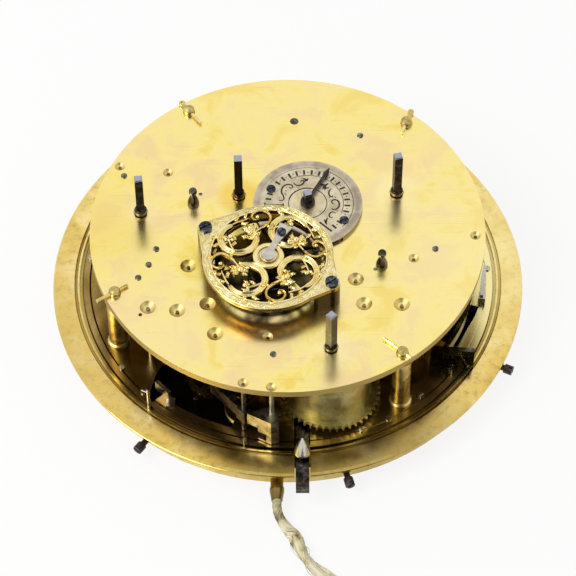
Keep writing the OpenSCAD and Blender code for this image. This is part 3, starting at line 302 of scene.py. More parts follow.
def makeCord():
    # locks wind round the route at an angle that grows with the length, and open where it has frayed
    rng = np.random.default_rng(11)
    line = smoothPath(cord["route"], 0.45)
    s = along(line)
    side, up = sideAndUp(line)
    half = cord["diameter"] / 2
    opened = np.clip((s - cord["laidLength"]) / cord["opensOver"], 0, 1)
    opened = opened * np.clip((cord["frayedTo"] + cord["closesOver"] - s) / cord["closesOver"], 0, 1)
    parts, runs, fibres = [], [], []

    def wave(shortest, longest):
        # a sine along the cord, of a random length and phase
        return np.sin(s / rng.uniform(shortest, longest) + rng.uniform(0, 6))

    def lock(turns, phase, offset, width, thick, sides):
        # a lock winds round the cord's line at its own distance, flat side outwards
        phi = phase + turns
        out = np.cos(phi)[:, None] * side + np.sin(phi)[:, None] * up
        tangent = -np.sin(phi)[:, None] * side + np.cos(phi)[:, None] * up
        centre = line + offset[:, None] * out
        centre[:, 2] = np.maximum(centre[:, 2], thick * 0.9 + 0.05)
        points, faces = turnedOut(*closedTube(centre, width, thick, tangent, out, sides))
        points[:, 2] = np.maximum(points[:, 2], cord["lowest"])
        ring = np.concatenate([np.tile(np.arange(sides), len(line)), [0, 0]])
        parts.append((points, faces))
        runs.append(np.concatenate([np.repeat(s, sides), [s[0], s[-1]]]))
        fibres.append(ring * cord["fibreStep"] + phase * 10)

    for k in range(cord["locks"]):
        phase = k * 2 * math.pi / cord["locks"]
        wander = 0.55 * wave(3.5, 7)
        turns = s * (0.62 - 0.44 * opened) + wander * opened
        offset = half * 0.56 + opened * (0.45 + 0.5 * wave(4, 8))
        width = half * 0.46 * (1 + opened * (0.35 + 0.3 * wave(2.5, 5)))
        thick = half * 0.42 * (1 - 0.25 * opened)
        lock(turns, phase, offset, width, thick, cord["lockSides"])
    core = np.full(len(s), half * 0.5)
    lock(s * 0, 0.0, s * 0, core, core, cord["coreSides"])
    for k in range(cord["hairs"]):
        begin = rng.uniform(cord["laidLength"], cord["frayedTo"])
        free = np.clip((s - begin) / 6, 0, 1) * np.clip((begin + rng.uniform(10, 20) - s) / 5, 0, 1)
        turns = s * 0.15 + 0.8 * wave(3, 6)
        thin = np.full(len(s), cord["hairHalf"])
        lock(turns, rng.uniform(0, 6.28), half * 0.6 + free * rng.uniform(0.7, 1.7), thin, thin,
             cord["hairSides"])
    points, faces = joined(parts)
    piece = addPiece("silk_cord", points, faces, silk(),
                     attributes={"alongMm": np.concatenate(runs), "fibre": np.concatenate(fibres)})
    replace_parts(piece, "repeat_cord")
    knot = makeKnot(piece.data.materials[0], s[-1])
    print("silk cord made,", round(float(s[-1])), "mm")


def makeKnot(material, reached):
    # three turns of the cord's strands drawn tight over each other, as a curve that winds round a torus
    t = np.linspace(0, 2 * math.pi, cord["knotRings"], endpoint=False)
    r, sides, step = cord["knotRadius"], cord["knotSides"], cord["fibreStep"]
    line = np.stack([(0.42 + 0.25 * np.cos(3 * t)) * r * np.cos(2 * t) * 1.05,
                     (0.42 + 0.25 * np.cos(3 * t)) * r * np.sin(2 * t) * 1.05,
                     0.42 * r * np.sin(3 * t)], axis=-1)
    line = line[:, [2, 0, 1]] + np.array(cord["knot"])
    line = np.vstack([line, line[:1]])
    side, up = sideAndUp(line)
    across = np.full(len(line), 0.3 * r)
    points, faces = turnedOut(*closedTube(line, across, across, side, up, sides))
    points[:, 2] = np.maximum(points[:, 2], cord["knotLowest"])
    rings = len(line)
    piece = addPiece("cord_knot_wound", points, faces, material, attributes={
        "alongMm": np.concatenate([np.repeat(np.arange(rings) * 0.1 + reached, sides), [reached, reached]]),
        "fibre": np.concatenate([np.tile(np.arange(sides) * step, rings), [0, 0]])})
    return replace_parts(piece, "cord_knot")


makeCord()


# Finishes: each is a dictionary of what shows, made into a material by one recipe for weathered metal
wear = {"scratchMm": (26, 0.45, 9), "scratchCut": (0.69, 0.74), "tilted": (0.985, 0.95), "grainDeep": 0.05}


def metal(name, look):
    # clouds of tone with a fine grain, under coats that are mixed in one after another, each by its
    # share: stains, turned rings, halos, levels, faces, old oil with painted shade in hollows, and scratches,
    # all in object space
    material, tree, shader = newMaterial(name)
    place = addNode(tree, "ShaderNodeTexCoord").outputs["Object"]
    height = addNode(tree, "ShaderNodeSeparateXYZ", {0: place}).outputs["Z"]
    facing = addNode(tree, "ShaderNodeSeparateXYZ", {0: addNode(
        tree, "ShaderNodeNewGeometry").outputs["Normal"]}).outputs["Z"]
    cloud = addNode(tree, "ShaderNodeTexNoise", {
        "Vector": place, "Scale": perMm(look["cloudMm"]), "Detail": 4, "Roughness": 0.55, "Distortion": 0.5})
    grain = addNode(tree, "ShaderNodeTexNoise", {
        "Vector": place, "Scale": perMm(look["grainMm"]), "Detail": 3, "Roughness": 0.6})
    coats = []  # share, colour and way of mixing

    def reachFrom(x, y):
        # millimetres from the upright line through x and y
        flat = addNode(tree, "ShaderNodeMapping", {
            "Vector": place, "Location": (-x, -y, 0), "Scale": (1000, 1000, 0)}).outputs[0]
        return addNode(tree, "ShaderNodeVectorMath", {0: flat}, operation="LENGTH").outputs["Value"]

    def coatWhere(one, two, colour, share):
        # a coat where both masks hold: its share is their product times the given one
        both = addNode(tree, "ShaderNodeMath", {0: one, 1: two}, operation="MULTIPLY").outputs[0]
        part = addNode(tree, "ShaderNodeMath", {0: both, 1: share}, operation="MULTIPLY").outputs[0]
        coats.append((part, hexColour(colour), "MIX"))

    if "stain" in look:
        spots = addNode(tree, "ShaderNodeTexNoise", {
            "Vector": place, "Scale": perMm(look["stainMm"]), "Detail": 7, "Roughness": 0.68})
        low, high = look["stainFrom"]
        part = addNode(tree, "ShaderNodeMapRange", {
            0: spots.outputs["Fac"], 1: low, 2: high, 3: 0.0, 4: look["stainShare"]}).outputs[0]
        coats.append((part, hexColour(look["stain"]), "MIX"))
    if "rings" in look:
        across = addNode(tree, "ShaderNodeMapRange", {
            0: reachFrom(*look.get("ringAt", (0, 0))), 1: look["ringFrom"], 2: look["ringTo"]}).outputs[0]
        rings = addNode(tree, "ShaderNodeValToRGB", {"Fac": across}, stops=look["rings"]).outputs[0]
        coats.append((1.0, rings, "MULTIPLY"))
    # halos fade out from an upright line; in some finishes they are wear, in others painted light and painted
    # shade
    for at, inner, outer, colour, share in look.get("halos", ()):
        part = addNode(tree, "ShaderNodeMapRange", {
            0: reachFrom(*at), 1: inner, 2: outer, 3: share, 4: 0.0}).outputs[0]
        coats.append((part, hexColour(colour), "MIX"))
    for low, high, colour, share in look.get("levels", ()):
        above = addNode(tree, "ShaderNodeMath", {0: height, 1: low * mm}, operation="GREATER_THAN").outputs[0]
        below = addNode(tree, "ShaderNodeMath", {0: height, 1: high * mm}, operation="LESS_THAN").outputs[0]
        coatWhere(above, below, colour, share)
    # faces colour by the way a face is turned, above a height: painted shade on undersides, walls and steep
    # sides, and painted highlights on tops
    for first, last, low, colour, share in look.get("faces", ()):
        turnedTo = addNode(tree, "ShaderNodeMapRange", {0: facing, 1: first, 2: last}).outputs[0]
        above = addNode(tree, "ShaderNodeMath", {0: height, 1: low * mm}, operation="GREATER_THAN").outputs[0]
        coatWhere(turnedTo, above, colour, share)
    # old oil and painted shade in hollows, by a darkness that each point carries
    if "oilAndShade" in look:
        deep = addNode(tree, "ShaderNodeAttribute", attribute_name="oilAndShade").outputs["Fac"]
        coats.append((deep, hexColour(look["oilAndShade"]), "MIX"))
    for turn in look.get("scratches", ()):
        drawn = addNode(tree, "ShaderNodeMapping", {
            "Vector": place, "Rotation": (0, 0, math.radians(turn)),
            "Scale": [perMm(size) for size in wear["scratchMm"]]}).outputs[0]
        lines = addNode(tree, "ShaderNodeTexNoise", {"Vector": drawn, "Scale": 1.0, "Detail": 2})
        low, high = wear["scratchCut"]
        cut = addNode(tree, "ShaderNodeMapRange", {0: lines.outputs["Fac"], 1: low, 2: high}).outputs[0]
        part = addNode(tree, "ShaderNodeMath", {0: cut, 1: look["scratchShare"]}, operation="MULTIPLY")
        coats.append((part.outputs[0], hexColour(look["scratchTone"]), "MIX"))
    tone = addNode(tree, "ShaderNodeValToRGB", {"Fac": cloud.outputs["Fac"]}, stops=look["tones"]).outputs[0]
    for share, colour, way in coats:
        tone = addNode(tree, "ShaderNodeMix", {0: share, 6: tone, 7: colour}, data_type="RGBA",
                       blend_type=way).outputs[2]
    rough = addNode(tree, "ShaderNodeMapRange", {
        0: cloud.outputs["Fac"], 1: 0.3, 2: 0.7, 3: look["rough"][0], 4: look["rough"][1]}).outputs[0]
    if "tiltRough" in look:
        low, high = wear["tilted"]
        tilted = addNode(tree, "ShaderNodeMapRange", {
            0: facing, 1: low, 2: high, 3: 0.0, 4: look["tiltRough"]}).outputs[0]
        rough = addNode(tree, "ShaderNodeMath", {0: rough, 1: tilted}, operation="MAXIMUM").outputs[0]
    bump = addNode(tree, "ShaderNodeBump", {
        "Height": grain.outputs["Fac"], "Strength": look["grain"],
        "Distance": wear["grainDeep"] * mm}).outputs[0]
    for socket, value in (("Base Color", tone), ("Roughness", rough), ("Normal", bump)):
        tree.links.new(value, shader.inputs[socket])
    shader.inputs["Metallic"].default_value = look.get("metallic", 1.0)
    return material


finishes = {
    "giltPlate": {  # fire-gilt brass plate: satin lemon, clouded yellow and pink where it was handled
        "tones": [(0.38, "#f4da9c"), (0.46, "#f9e498"), (0.54, "#fae78e"), (0.62, "#f5d970")],
        "cloudMm": 17, "grainMm": 0.5, "grain": 0.05, "rough": (0.2, 0.28), "stain": "#cda552",
        "stainMm": 6, "stainFrom": (0.6, 0.8), "stainShare": 0.35, "scratches": (84, 97),
        "scratchTone": "#b08a3c", "scratchShare": 0.2, "halos": [
            # the first halo is painted shade: a near-black disc on the plate under the balance bridge; the
            # others lighten the plate round arbors and in broad patches
            ((-5.93, -16.6), 16.9, 17.6, "#2b1e0b", 0.93), ((-46.05, 6.95), 3, 7, "#fbeebc", 0.4),
            ((34.49, 14.18), 4, 10, "#fbeebc", 0.5), ((-15.28, 13.45), 5, 8, "#f2c84e", 0.6),
            ((12.97, -45.71), 3, 10, "#fbeebc", 0.45), ((0, 70), 10, 60, "#f9e8a4", 0.4),
            ((60, -10), 10, 60, "#fdedb0", 0.4), ((-60, 2), 3, 22, "#f2d670", 0.6),
            ((-40, -44), 5, 30, "#fae6a8", 0.5)],
        # faces: painted shade, dark brown on the plate's underside and darker on its upright walls; tilted
        # faces, the oil sinks' bowls and bevels, a darker bronze
        "faces": [(-0.3, -0.6, 0, "#4a3616", 1), (0.985, 0.9, 0, "#c2a864", 0.6),
                  (0.35, 0.2, 0, "#ac9450", 0.9)],
        "tiltRough": 0.42},
    "flange": {  # the ring's flange: bright gilding on the inner band, brown-green patina outside it, with painted shade at its front and a painted highlight at its right
        "tones": [(0.34, "#e6cc80"), (0.5, "#f0da90"), (0.66, "#f9e9b0")],
        "cloudMm": 9, "grainMm": 0.4, "grain": 0.08, "rough": (0.16, 0.28), "stain": "#7a642c",
        "stainMm": 2.6, "stainFrom": (0.5, 0.76), "stainShare": 0.55, "ringFrom": 65, "ringTo": 75.5,
        # the rings' dark lines are painted shade in the groove and at the step of the flange
        "rings": [(0, "#c0b48c"), (0.05, "#5a4c2c"), (0.08, "#b8ac84"), (0.14, "#a89c74"),
                  (0.155, "#fffcf0"), (0.205, "#fffcf0"), (0.22, "#8c7c4c"), (0.27, "#a89662"),
                  (0.285, "#5c4e28"), (0.3, "#fff8e6"), (0.62, "#fcf4dc"), (0.95, "#f6ecca"),
                  (1, "#fff8e0")],
        # halos: painted shade at the left and front, where the flange shows dark with its patina, and a
        # painted highlight at the right
        "halos": [((-75, -30), 10, 46, "#d2b466", 0.5), ((-6, -106), 31, 44, "#8c7634", 0.5),
                  ((40, -90), 26, 48, "#8a7642", 0.6), ((80, 10), 10, 44, "#fbeaa4", 0.5)]},
    "lowerPlate": {  # the plate under the trains: brown-gold, with painted light at its right and front, where it comes out from under the top plate
        "tones": [(0.32, "#8c7440"), (0.5, "#a88e56"), (0.66, "#c2a668")],
        "cloudMm": 15, "grainMm": 0.45, "grain": 0.06, "rough": (0.2, 0.3), "stain": "#3c2c12",
        "stainMm": 3.5, "stainFrom": (0.56, 0.76), "stainShare": 0.5, "ringFrom": 60, "ringTo": 66,
        "rings": [(0, "#ffffff"), (0.47, "#fff8e6"), (0.485, "#241c0c"), (0.555, "#241c0c"),
                  (0.57, "#fff8e6"), (0.86, "#ffffff"), (0.9, "#6a5c38")],
        # halos: painted light on the plate at its right and front
        "halos": [((78, 0), 24, 46, "#fceeaa", 0.95), ((30, -78), 20, 36, "#d8bc6a", 0.7)]},
    "inside": {  # brass between the plates, brown with age and toned darker as painted shade, for the space out of the light
        "tones": [(0.32, "#6a5830"), (0.5, "#8a7644"), (0.66, "#a89256")],
        "cloudMm": 15, "grainMm": 0.45, "grain": 0.08, "rough": (0.24, 0.36), "stain": "#2e2410",
        "stainMm": 3.5, "stainFrom": (0.54, 0.74), "stainShare": 0.6},
    "fuseeBrass": {  # turned brass of the fusee, with the steel of its arbor over it; its brass toned darker as painted shade, like the brass between the plates
        "tones": [(0.32, "#6a5830"), (0.5, "#8a7644"), (0.66, "#a89256")],
        "cloudMm": 8, "grainMm": 0.35, "grain": 0.08, "rough": (0.24, 0.36), "stain": "#2e2410",
        "stainMm": 2.2, "stainFrom": (0.54, 0.74), "stainShare": 0.5,
        # levels: painted shade, a near-black band where the arbor goes through the top plate, then the steel;
        # faces: a painted highlight, pale blue-grey, on the top of its square
        "levels": [(35.0, 35.9, "#1c160c", 0.9), (36.4, 60, "#3a342c", 0.92)],
        "faces": [(0.8, 0.95, 48, "#b0b4c0", 0.85)]},
    "giltBrass": {  # gilt brass of pillars, barrels and wheels
        "tones": [(0.35, "#b0a468"), (0.5, "#cabe84"), (0.65, "#ded4a0")],
        "cloudMm": 6, "grainMm": 0.4, "grain": 0.08, "rough": (0.3, 0.44), "stain": "#5c5024",
        "stainMm": 3, "stainFrom": (0.5, 0.74), "stainShare": 0.5},
    "pillarBrass": {  # turned pillars: gilding gone brown and blotched
        "tones": [(0.35, "#a28c4e"), (0.5, "#c4ae6a"), (0.65, "#dccb8c")],
        "cloudMm": 4, "grainMm": 0.4, "grain": 0.08, "rough": (0.24, 0.38), "stain": "#4e3c18",
        "stainMm": 2.6, "stainFrom": (0.5, 0.72), "stainShare": 0.6},
    "brightGilt": {  # small gilt parts over the top plate
        "tones": [(0.35, "#cdb468"), (0.5, "#e4ce88"), (0.65, "#f2e2ac")],
        "cloudMm": 5, "grainMm": 0.3, "grain": 0.06, "rough": (0.18, 0.28), "stain": "#6e5a2c",
        "stainMm": 1.6, "stainFrom": (0.52, 0.7), "stainShare": 0.6},
    "worked": {  # old wrought steel: grey, browned and pitted
        "tones": [(0.34, "#3f3a33"), (0.5, "#5e5950"), (0.66, "#827c72")],
        "cloudMm": 2.2, "grainMm": 0.35, "grain": 0.3, "rough": (0.26, 0.42), "stain": "#2a2018",
        "stainMm": 1.2, "stainFrom": (0.5, 0.68), "stainShare": 0.6},
    "polishedDark": {  # hammer of the hours: steel polished black, pale at its worn edges
        "tones": [(0.36, "#34312c"), (0.5, "#56524a"), (0.66, "#88837a")],
        "cloudMm": 4, "grainMm": 0.3, "grain": 0.05, "rough": (0.12, 0.22), "stain": "#8a857a",
        "stainMm": 2.4, "stainFrom": (0.6, 0.76), "stainShare": 0.5},
    "pinSteel": {  # pins riveted in the plates: dark above, and made pale on the plate below as a painted highlight where they lie in the top plate's shade
        "tones": [(0.36, "#3c3a36"), (0.5, "#66625a"), (0.66, "#a09b90")],
        "cloudMm": 1, "grainMm": 0.3, "grain": 0.1, "rough": (0.2, 0.3),
        "levels": [(0, 20, "#c9c5ba", 0.8)]},
    "hammerSteel": {  # block hammer: filed steel, brown in its corners
        "tones": [(0.36, "#7d7768"), (0.5, "#a39c8a"), (0.66, "#bdb6a4")],
        "cloudMm": 3, "grainMm": 0.3, "grain": 0.14, "rough": (0.24, 0.34), "stain": "#4a3c24",
        "stainMm": 2, "stainFrom": (0.54, 0.74), "stainShare": 0.5},
    "latchSteel": {  # latch: a pitted black bar with a polished nose
        "tones": [(0.34, "#33302b"), (0.5, "#524d46"), (0.66, "#7a746a")],
        "cloudMm": 1.6, "grainMm": 0.35, "grain": 0.3, "rough": (0.2, 0.34), "stain": "#241c14",
        "stainMm": 1.2, "stainFrom": (0.5, 0.68), "stainShare": 0.6, "levels": [(11.8, 20, "#d6d4d0", 0.92)]},
    "squares": {  # winding squares: steel browned by age, with a painted highlight, pale blue-grey, on their tops and painted shade where they go through the plate
        "tones": [(0.34, "#2c2823"), (0.5, "#403b34"), (0.66, "#686156")],
        "cloudMm": 2, "grainMm": 0.3, "grain": 0.12, "rough": (0.28, 0.42), "metallic": 0.8,
        "stain": "#241c10", "stainMm": 1.4, "stainFrom": (0.5, 0.7), "stainShare": 0.5,
        # levels: painted shade, near-black, in the plate's holes, and the collars dull gold; faces: the
        # painted highlight on the tops
        "levels": [(35.0, 35.9, "#1c160c", 0.9), (35.9, 37.1, "#8e8258", 0.75)],
        "faces": [(0.8, 0.95, 41, "#b0b4c0", 0.85)]},
    "polished": {  # polished steel gone slightly dull
        "tones": [(0.36, "#b4afa3"), (0.6, "#d0cabb")],
        "cloudMm": 3, "grainMm": 0.3, "grain": 0.06, "rough": (0.22, 0.32), "stain": "#6f6450",
        "stainMm": 1.4, "stainFrom": (0.6, 0.76), "stainShare": 0.4},
    "blued": {  # steel blued by heat and rubbed: slate grey where it shines, black where it does not
        "tones": [(0.36, "#22242a"), (0.5, "#3a3e47"), (0.66, "#68707c")],
        "cloudMm": 1.2, "grainMm": 0.3, "grain": 0.1, "rough": (0.2, 0.32), "metallic": 0.85},
    "darkSteel": {  # pointer and hands: blued once, now a warm near-black
        "tones": [(0.36, "#2c2624"), (0.5, "#3f3735"), (0.66, "#574d4a")],
        "cloudMm": 2, "grainMm": 0.3, "grain": 0.12, "rough": (0.34, 0.46), "metallic": 0.7},
    "carved": {  # gilt brass cut by hand: bright on its ridges, dark in its hollows with old oil and painted shade, its steep sides painted darker as shade
        "tones": [(0.35, "#ecd68c"), (0.5, "#f4e2a0"), (0.65, "#faecbc")],
        "cloudMm": 3, "grainMm": 0.25, "grain": 0.12, "rough": (0.2, 0.3), "oilAndShade": "#2a1c0a",
        # faces: painted shade on the steep sides of scrolls and leaves
        "faces": [(0.35, 0.15, 0, "#8a6a30", 0.75)]},
    "silvered": {  # silvered brass: matt, warm in its field and lilac-grey on the bevelled rim
        "tones": [(0.34, "#bcb49e"), (0.5, "#d4ccb6"), (0.66, "#e2dac6")],
        "cloudMm": 4, "grainMm": 0.35, "grain": 0.12, "rough": (0.34, 0.46), "stain": "#857c68",
        "stainMm": 1.8, "stainFrom": (0.54, 0.74), "stainShare": 0.5, "ringAt": (6.4, 9.2),
        "ringFrom": 0, "ringTo": 18, "rings": [
            (0, "#fff2cc"), (0.3, "#fffae8"), (0.34, "#fff8e8"), (0.78, "#fffaf0"), (0.82, "#f0eae2"),
            (0.86, "#d8d2ce"), (0.93, "#e8e2de"), (0.96, "#ffffff")],
        # the halo is painted shade, near-black on the disc under the balance bridge; faces: painted shade on
        # the disc's sides
        "halos": [((-5.93, -16.6), 16.9, 17.6, "#2b1e0b", 0.93)],
        "faces": [(0.5, 0.3, 0, "#8a7a50", 0.8)]},
}
finishes["silveredDisc"] = {key: value for key, value in finishes["silvered"].items()
                            if key not in ("rings", "halos", "faces")}


def enamel():
    # white vitreous enamel on copper: glossy, very slightly uneven
    material, tree, shader = newMaterial("white_enamel")
    place = addNode(tree, "ShaderNodeTexCoord").outputs["Object"]
    wave = addNode(tree, "ShaderNodeTexNoise", {"Vector": place, "Scale": perMm(14), "Detail": 2})
    tone = addNode(tree, "ShaderNodeValToRGB", {"Fac": wave.outputs["Fac"]},
                   stops=[(0.3, "#ece8da"), (0.7, "#f6f4ec")])
    bump = addNode(tree, "ShaderNodeBump", {
        "Height": wave.outputs["Fac"], "Strength": 0.15, "Distance": 0.2 * mm})
    facing = addNode(tree, "ShaderNodeSeparateXYZ", {0: addNode(
        tree, "ShaderNodeNewGeometry").outputs["Normal"]}).outputs["Z"]
    # the back, turned up under the plates, is dark copper made near-black and metallic: painted shade for the
    # space between the dial and the pillar plate
    back = addNode(tree, "ShaderNodeMapRange", {0: facing, 1: 0.3, 2: 0.6}).outputs[0]
    both = addNode(tree, "ShaderNodeMix", {0: back, 6: tone.outputs[0], 7: hexColour("#120c07")},
                   data_type="RGBA").outputs[2]
    tree.links.new(both, shader.inputs["Base Color"])
    tree.links.new(addNode(tree, "ShaderNodeMapRange", {0: back, 3: 0.12, 4: 0.7}).outputs[0],
                   shader.inputs["Roughness"])
    tree.links.new(back, shader.inputs["Metallic"])
    tree.links.new(bump.outputs[0], shader.inputs["Normal"])
    return material


def blackWax():
    # black sealing wax rubbed into engraving, or fired black on enamel: dull and slightly worn
    material, tree, shader = newMaterial("black_wax")
    place = addNode(tree, "ShaderNodeTexCoord").outputs["Object"]
    worn = addNode(tree, "ShaderNodeTexNoise", {"Vector": place, "Scale": perMm(1.2), "Detail": 3})
    tone = addNode(tree, "ShaderNodeValToRGB", {"Fac": worn.outputs["Fac"]},
                   stops=[(0.4, "#17130f"), (0.7, "#3a3127")])
    tree.links.new(tone.outputs[0], shader.inputs["Base Color"])
    shader.inputs["Roughness"].default_value = 0.6
    return material


made = {name: metal(name, look) for name, look in finishes.items()}
made["enamel"] = enamel()
made["wax"] = blackWax()

finishOf = {
    "giltPlate": ["top_plate"],
    "flange": ["dial_ring"],
    "lowerPlate": ["pillar_plate"],
    "inside": ["potences", "repeat_pulley", "fusee_wheel", "cord_tube", "centre_wheel",
               "third_wheel", "contrate_wheel", "quarter_pin_wheel", "quarter_third_wheel",
               "quarter_fourth_wheel", "quarter_fly", "hour_pin_wheel", "hour_third_wheel", "hour_fly",
               "alarm_wheel", "minute_wheel", "hour_wheel"],
    "fuseeBrass": ["fusee"],
    "pillarBrass": ["pillars"],
    "polishedDark": ["hour_hammer", "plate_studs"],
    "brightGilt": ["balance_wheel", "pillar_pins"],
    "worked": ["going_arbor", "fusee_chain", "release_lever", "alarm_hammer",
               "left_hammer", "cannon_pinion", "regulator_rack"],
    "squares": ["hour_arbor", "quarter_arbor", "alarm_arbor", "regulator_arbor"],
    "pinSteel": ["plate_pins"],
    "hammerSteel": ["block_hammer"],
    "latchSteel": ["latch_bolt"],
    "polished": ["coqueret", "verge", "plate_springs"],
    "blued": ["blued_screws", "balance_spring"],
    "darkSteel": ["rim_screws", "hour_hand", "minute_hand", "regulator_pointer"],
    "silvered": ["regulator_dial"],
    "silveredDisc": ["alarm_disc"],
    "enamel": ["dial"],
}


def dress():
    # every node's one slot gets its finish, and gilt brass where none is named
    given = {n: made[finish] for finish, names in finishOf.items() for n in names}
    for name, holder in nodes.items():
        holder.data.materials.clear()
        holder.data.materials.append(given.get(name, made["giltBrass"]))


dress()
print("finishes given to", len(nodes), "pieces")


# Carved balance bridge: a ring with two ears and feet, a chased border, and four C-scrolls with
# leaves, volutes and flowers that carry the turned hub
bridge = {
    "at": (-5.93, -16.6), "openR": 17.62, "outerR": 20.25, "openDrop": 0.27, "outerDrop": 0.55,
    "ears": (151, -29), "earAt": 22.1, "earR": 2.6, "earSide": (23.2, 2.4), "shoulder": 48, "bossR": 2.25,
    "low": 42.5, "top": 44.0, "plate": 35.5, "footIn": 19.7, "footAngle": 16.5, "columns": 1000,
    "borderRows": 26, "borderR": 19.4, "borderWide": 2.1, "doubledFrom": 3.2, "relief": 0.13, "period": 5.1,
    "axis": 45, "hubR": 4.9, "scrollFrom": (16.15, -0.7), "scrollHeading": 62,
    "scrollBends": [(24.3, 0.1786, 0.1786), (6.4, 0.19, 1.9)], "leafWide": 1.35, "sharpAt": 40,
}
# Scroll forms, drawn for a scroll that lies along +X from the hub: line, half width, height, section
scrollStems = [
    ([(9.3, -4.5), (8.8, -7), (9, -9.5), (10.3, -11.2), (12.4, -11.4), (14.1, -10.6), (14.9, -8.8),
      (14.3, -7.1), (13, -6.6), (12.1, -7.3), (12.4, -8.1), (13, -8.2)], 0.44, 0.2, "fluted"),
    ([(16.3, -0.6), (16, -2), (15.3, -3.8), (14.4, -5.8)], 0.36, 0.1, "round"),
    ([(7.9, 6.4), (9.6, 5.9), (11.4, 5.2), (13, 4.2), (13.4, 3.2)], 0.4, 0.1, "round"),
    ([(10.2, -1.8), (9.6, -3), (9.2, -4.6), (8.9, -6.4)], 0.42, 0.15, "round"),
]
scrollLeaves = [
    ([(10.1, -1.7), (11.6, -2.5), (13.2, -1.6)], 0.62), ([(10.2, -2.2), (11.3, -3.6), (12.9, -3.7)], 0.58),
    ([(10, -2.5), (10.5, -4.3), (11.8, -5.3)], 0.55), ([(9.9, -1.6), (10, -0.2), (11.1, 0.7)], 0.58),
    ([(9.7, -1.7), (8.9, -0.9), (9, 0.4)], 0.45), ([(9.5, -2.6), (8.4, -3.3), (7.9, -4.8)], 0.52),
    ([(13, 4), (12, 3), (12.3, 1.8)], 0.5), ([(12.6, 4.5), (14.2, 4.6), (14.9, 3.4)], 0.5),
    ([(11.2, 5.4), (10.6, 4.2), (11.1, 3)], 0.42), ([(15.9, -2.2), (17, -3), (17.3, -4.6)], 0.48),
    ([(15.4, -3.6), (14, -3.4), (13.2, -4.6)], 0.48), ([(14.6, -5.4), (15.9, -5.8), (16.5, -7.2)], 0.45),
    ([(9, -8), (7.7, -8.3), (7.2, -9.7)], 0.42), ([(15.3, 5.8), (16.6, 6.3), (16.7, 7.8)], 0.5),
    ([(13.6, 7.2), (14.4, 8.5), (14, 10.2)], 0.5), ([(12.2, -11.3), (12.9, -12.3), (14.4, -12.2)], 0.42),
]
scrollBuds = [(10.1, -2, 0.95), (13.3, 3.2, 0.72), (12.75, -8, 0.6), (8.1, -0.9, 0.62)]


def curledLine(start, heading, stretches, step=0.16):
    # a line drawn by turning: each stretch has a length and the curvature at its two ends
    points, a = [np.array(start, float)], math.radians(heading)
    for length, first, last in stretches:
        n = int(length / step)
        for i in range(n):
            a += (first + (last - first) * (i + 0.5) / n) * length / n
            points.append(points[-1] + length / n * np.array([math.cos(a), math.sin(a)]))
    return np.array(points)


def bridgeCircle(theta, radius, drop):
    # a circle whose centre lies a little in front of the hub, as a distance in each direction
    return radius - drop * np.sin(np.radians(theta))


def bridgeEdge(theta):
    # distance from the hub to the outline in each direction, in degrees
    reach = bridgeCircle(theta, bridge["outerR"], bridge["outerDrop"])
    shoulder, two = math.radians(bridge["shoulder"]), np.array(bridge["earSide"])
    for ear in bridge["ears"]:
        for side in (1, -1):
            phi = np.radians(((theta - ear) * side + 180) % 360 - 180)
            across = bridge["earAt"] * np.sin(np.abs(phi))
            inside = np.clip(bridge["earR"] ** 2 - across**2, 0, None)
            near = (across < bridge["earR"]) & (np.abs(phi) < 1)
            lobe = np.where(near, bridge["earAt"] * np.cos(phi) + np.sqrt(inside), 0)
            start = bridgeCircle(ear + side * bridge["shoulder"], bridge["outerR"], bridge["outerDrop"])
            one = start * np.array([math.cos(shoulder), math.sin(shoulder)])
            normal = np.array([one[1] - two[1], two[0] - one[0]])
            straight = normal @ two / (normal[0] * np.cos(phi) + normal[1] * np.sin(phi))
            edge = np.where((phi >= 0) & (phi < shoulder), straight, 0)
            edge = np.where((phi >= 0) & (phi < math.atan2(two[1], two[0])), two[0] / np.cos(phi), edge)
            reach = np.maximum(reach, np.maximum(lobe, edge))
    return reach


def foliage(s, v, period, width):
    # height of a running leaf border, 0 to 1: s along and v across it, 0 to 1
    p = s / period
    h = np.exp(-((v - 0.5 - 0.24 * np.sin(2 * math.pi * p)) / 0.1) ** 2)
    for offset, side in ((0.25, -1), (0.75, 1)):
        u = ((p - offset + 0.5) % 1 - 0.5) * period / width
        w = v - 0.5 - side * 0.1
        rho, a = np.hypot(u, w), np.arctan2(w * side, u)
        curl = np.exp(-((rho - 0.2 - 0.02 * a) / 0.055) ** 2)
        petals = np.clip(np.cos(6 * a + 7 * rho), 0, 1) * np.exp(-((rho - 0.42) / 0.13) ** 2)
        h = np.maximum(h, np.maximum(np.maximum(curl, np.exp(-(rho / 0.09) ** 2)), 0.85 * petals))
    return h


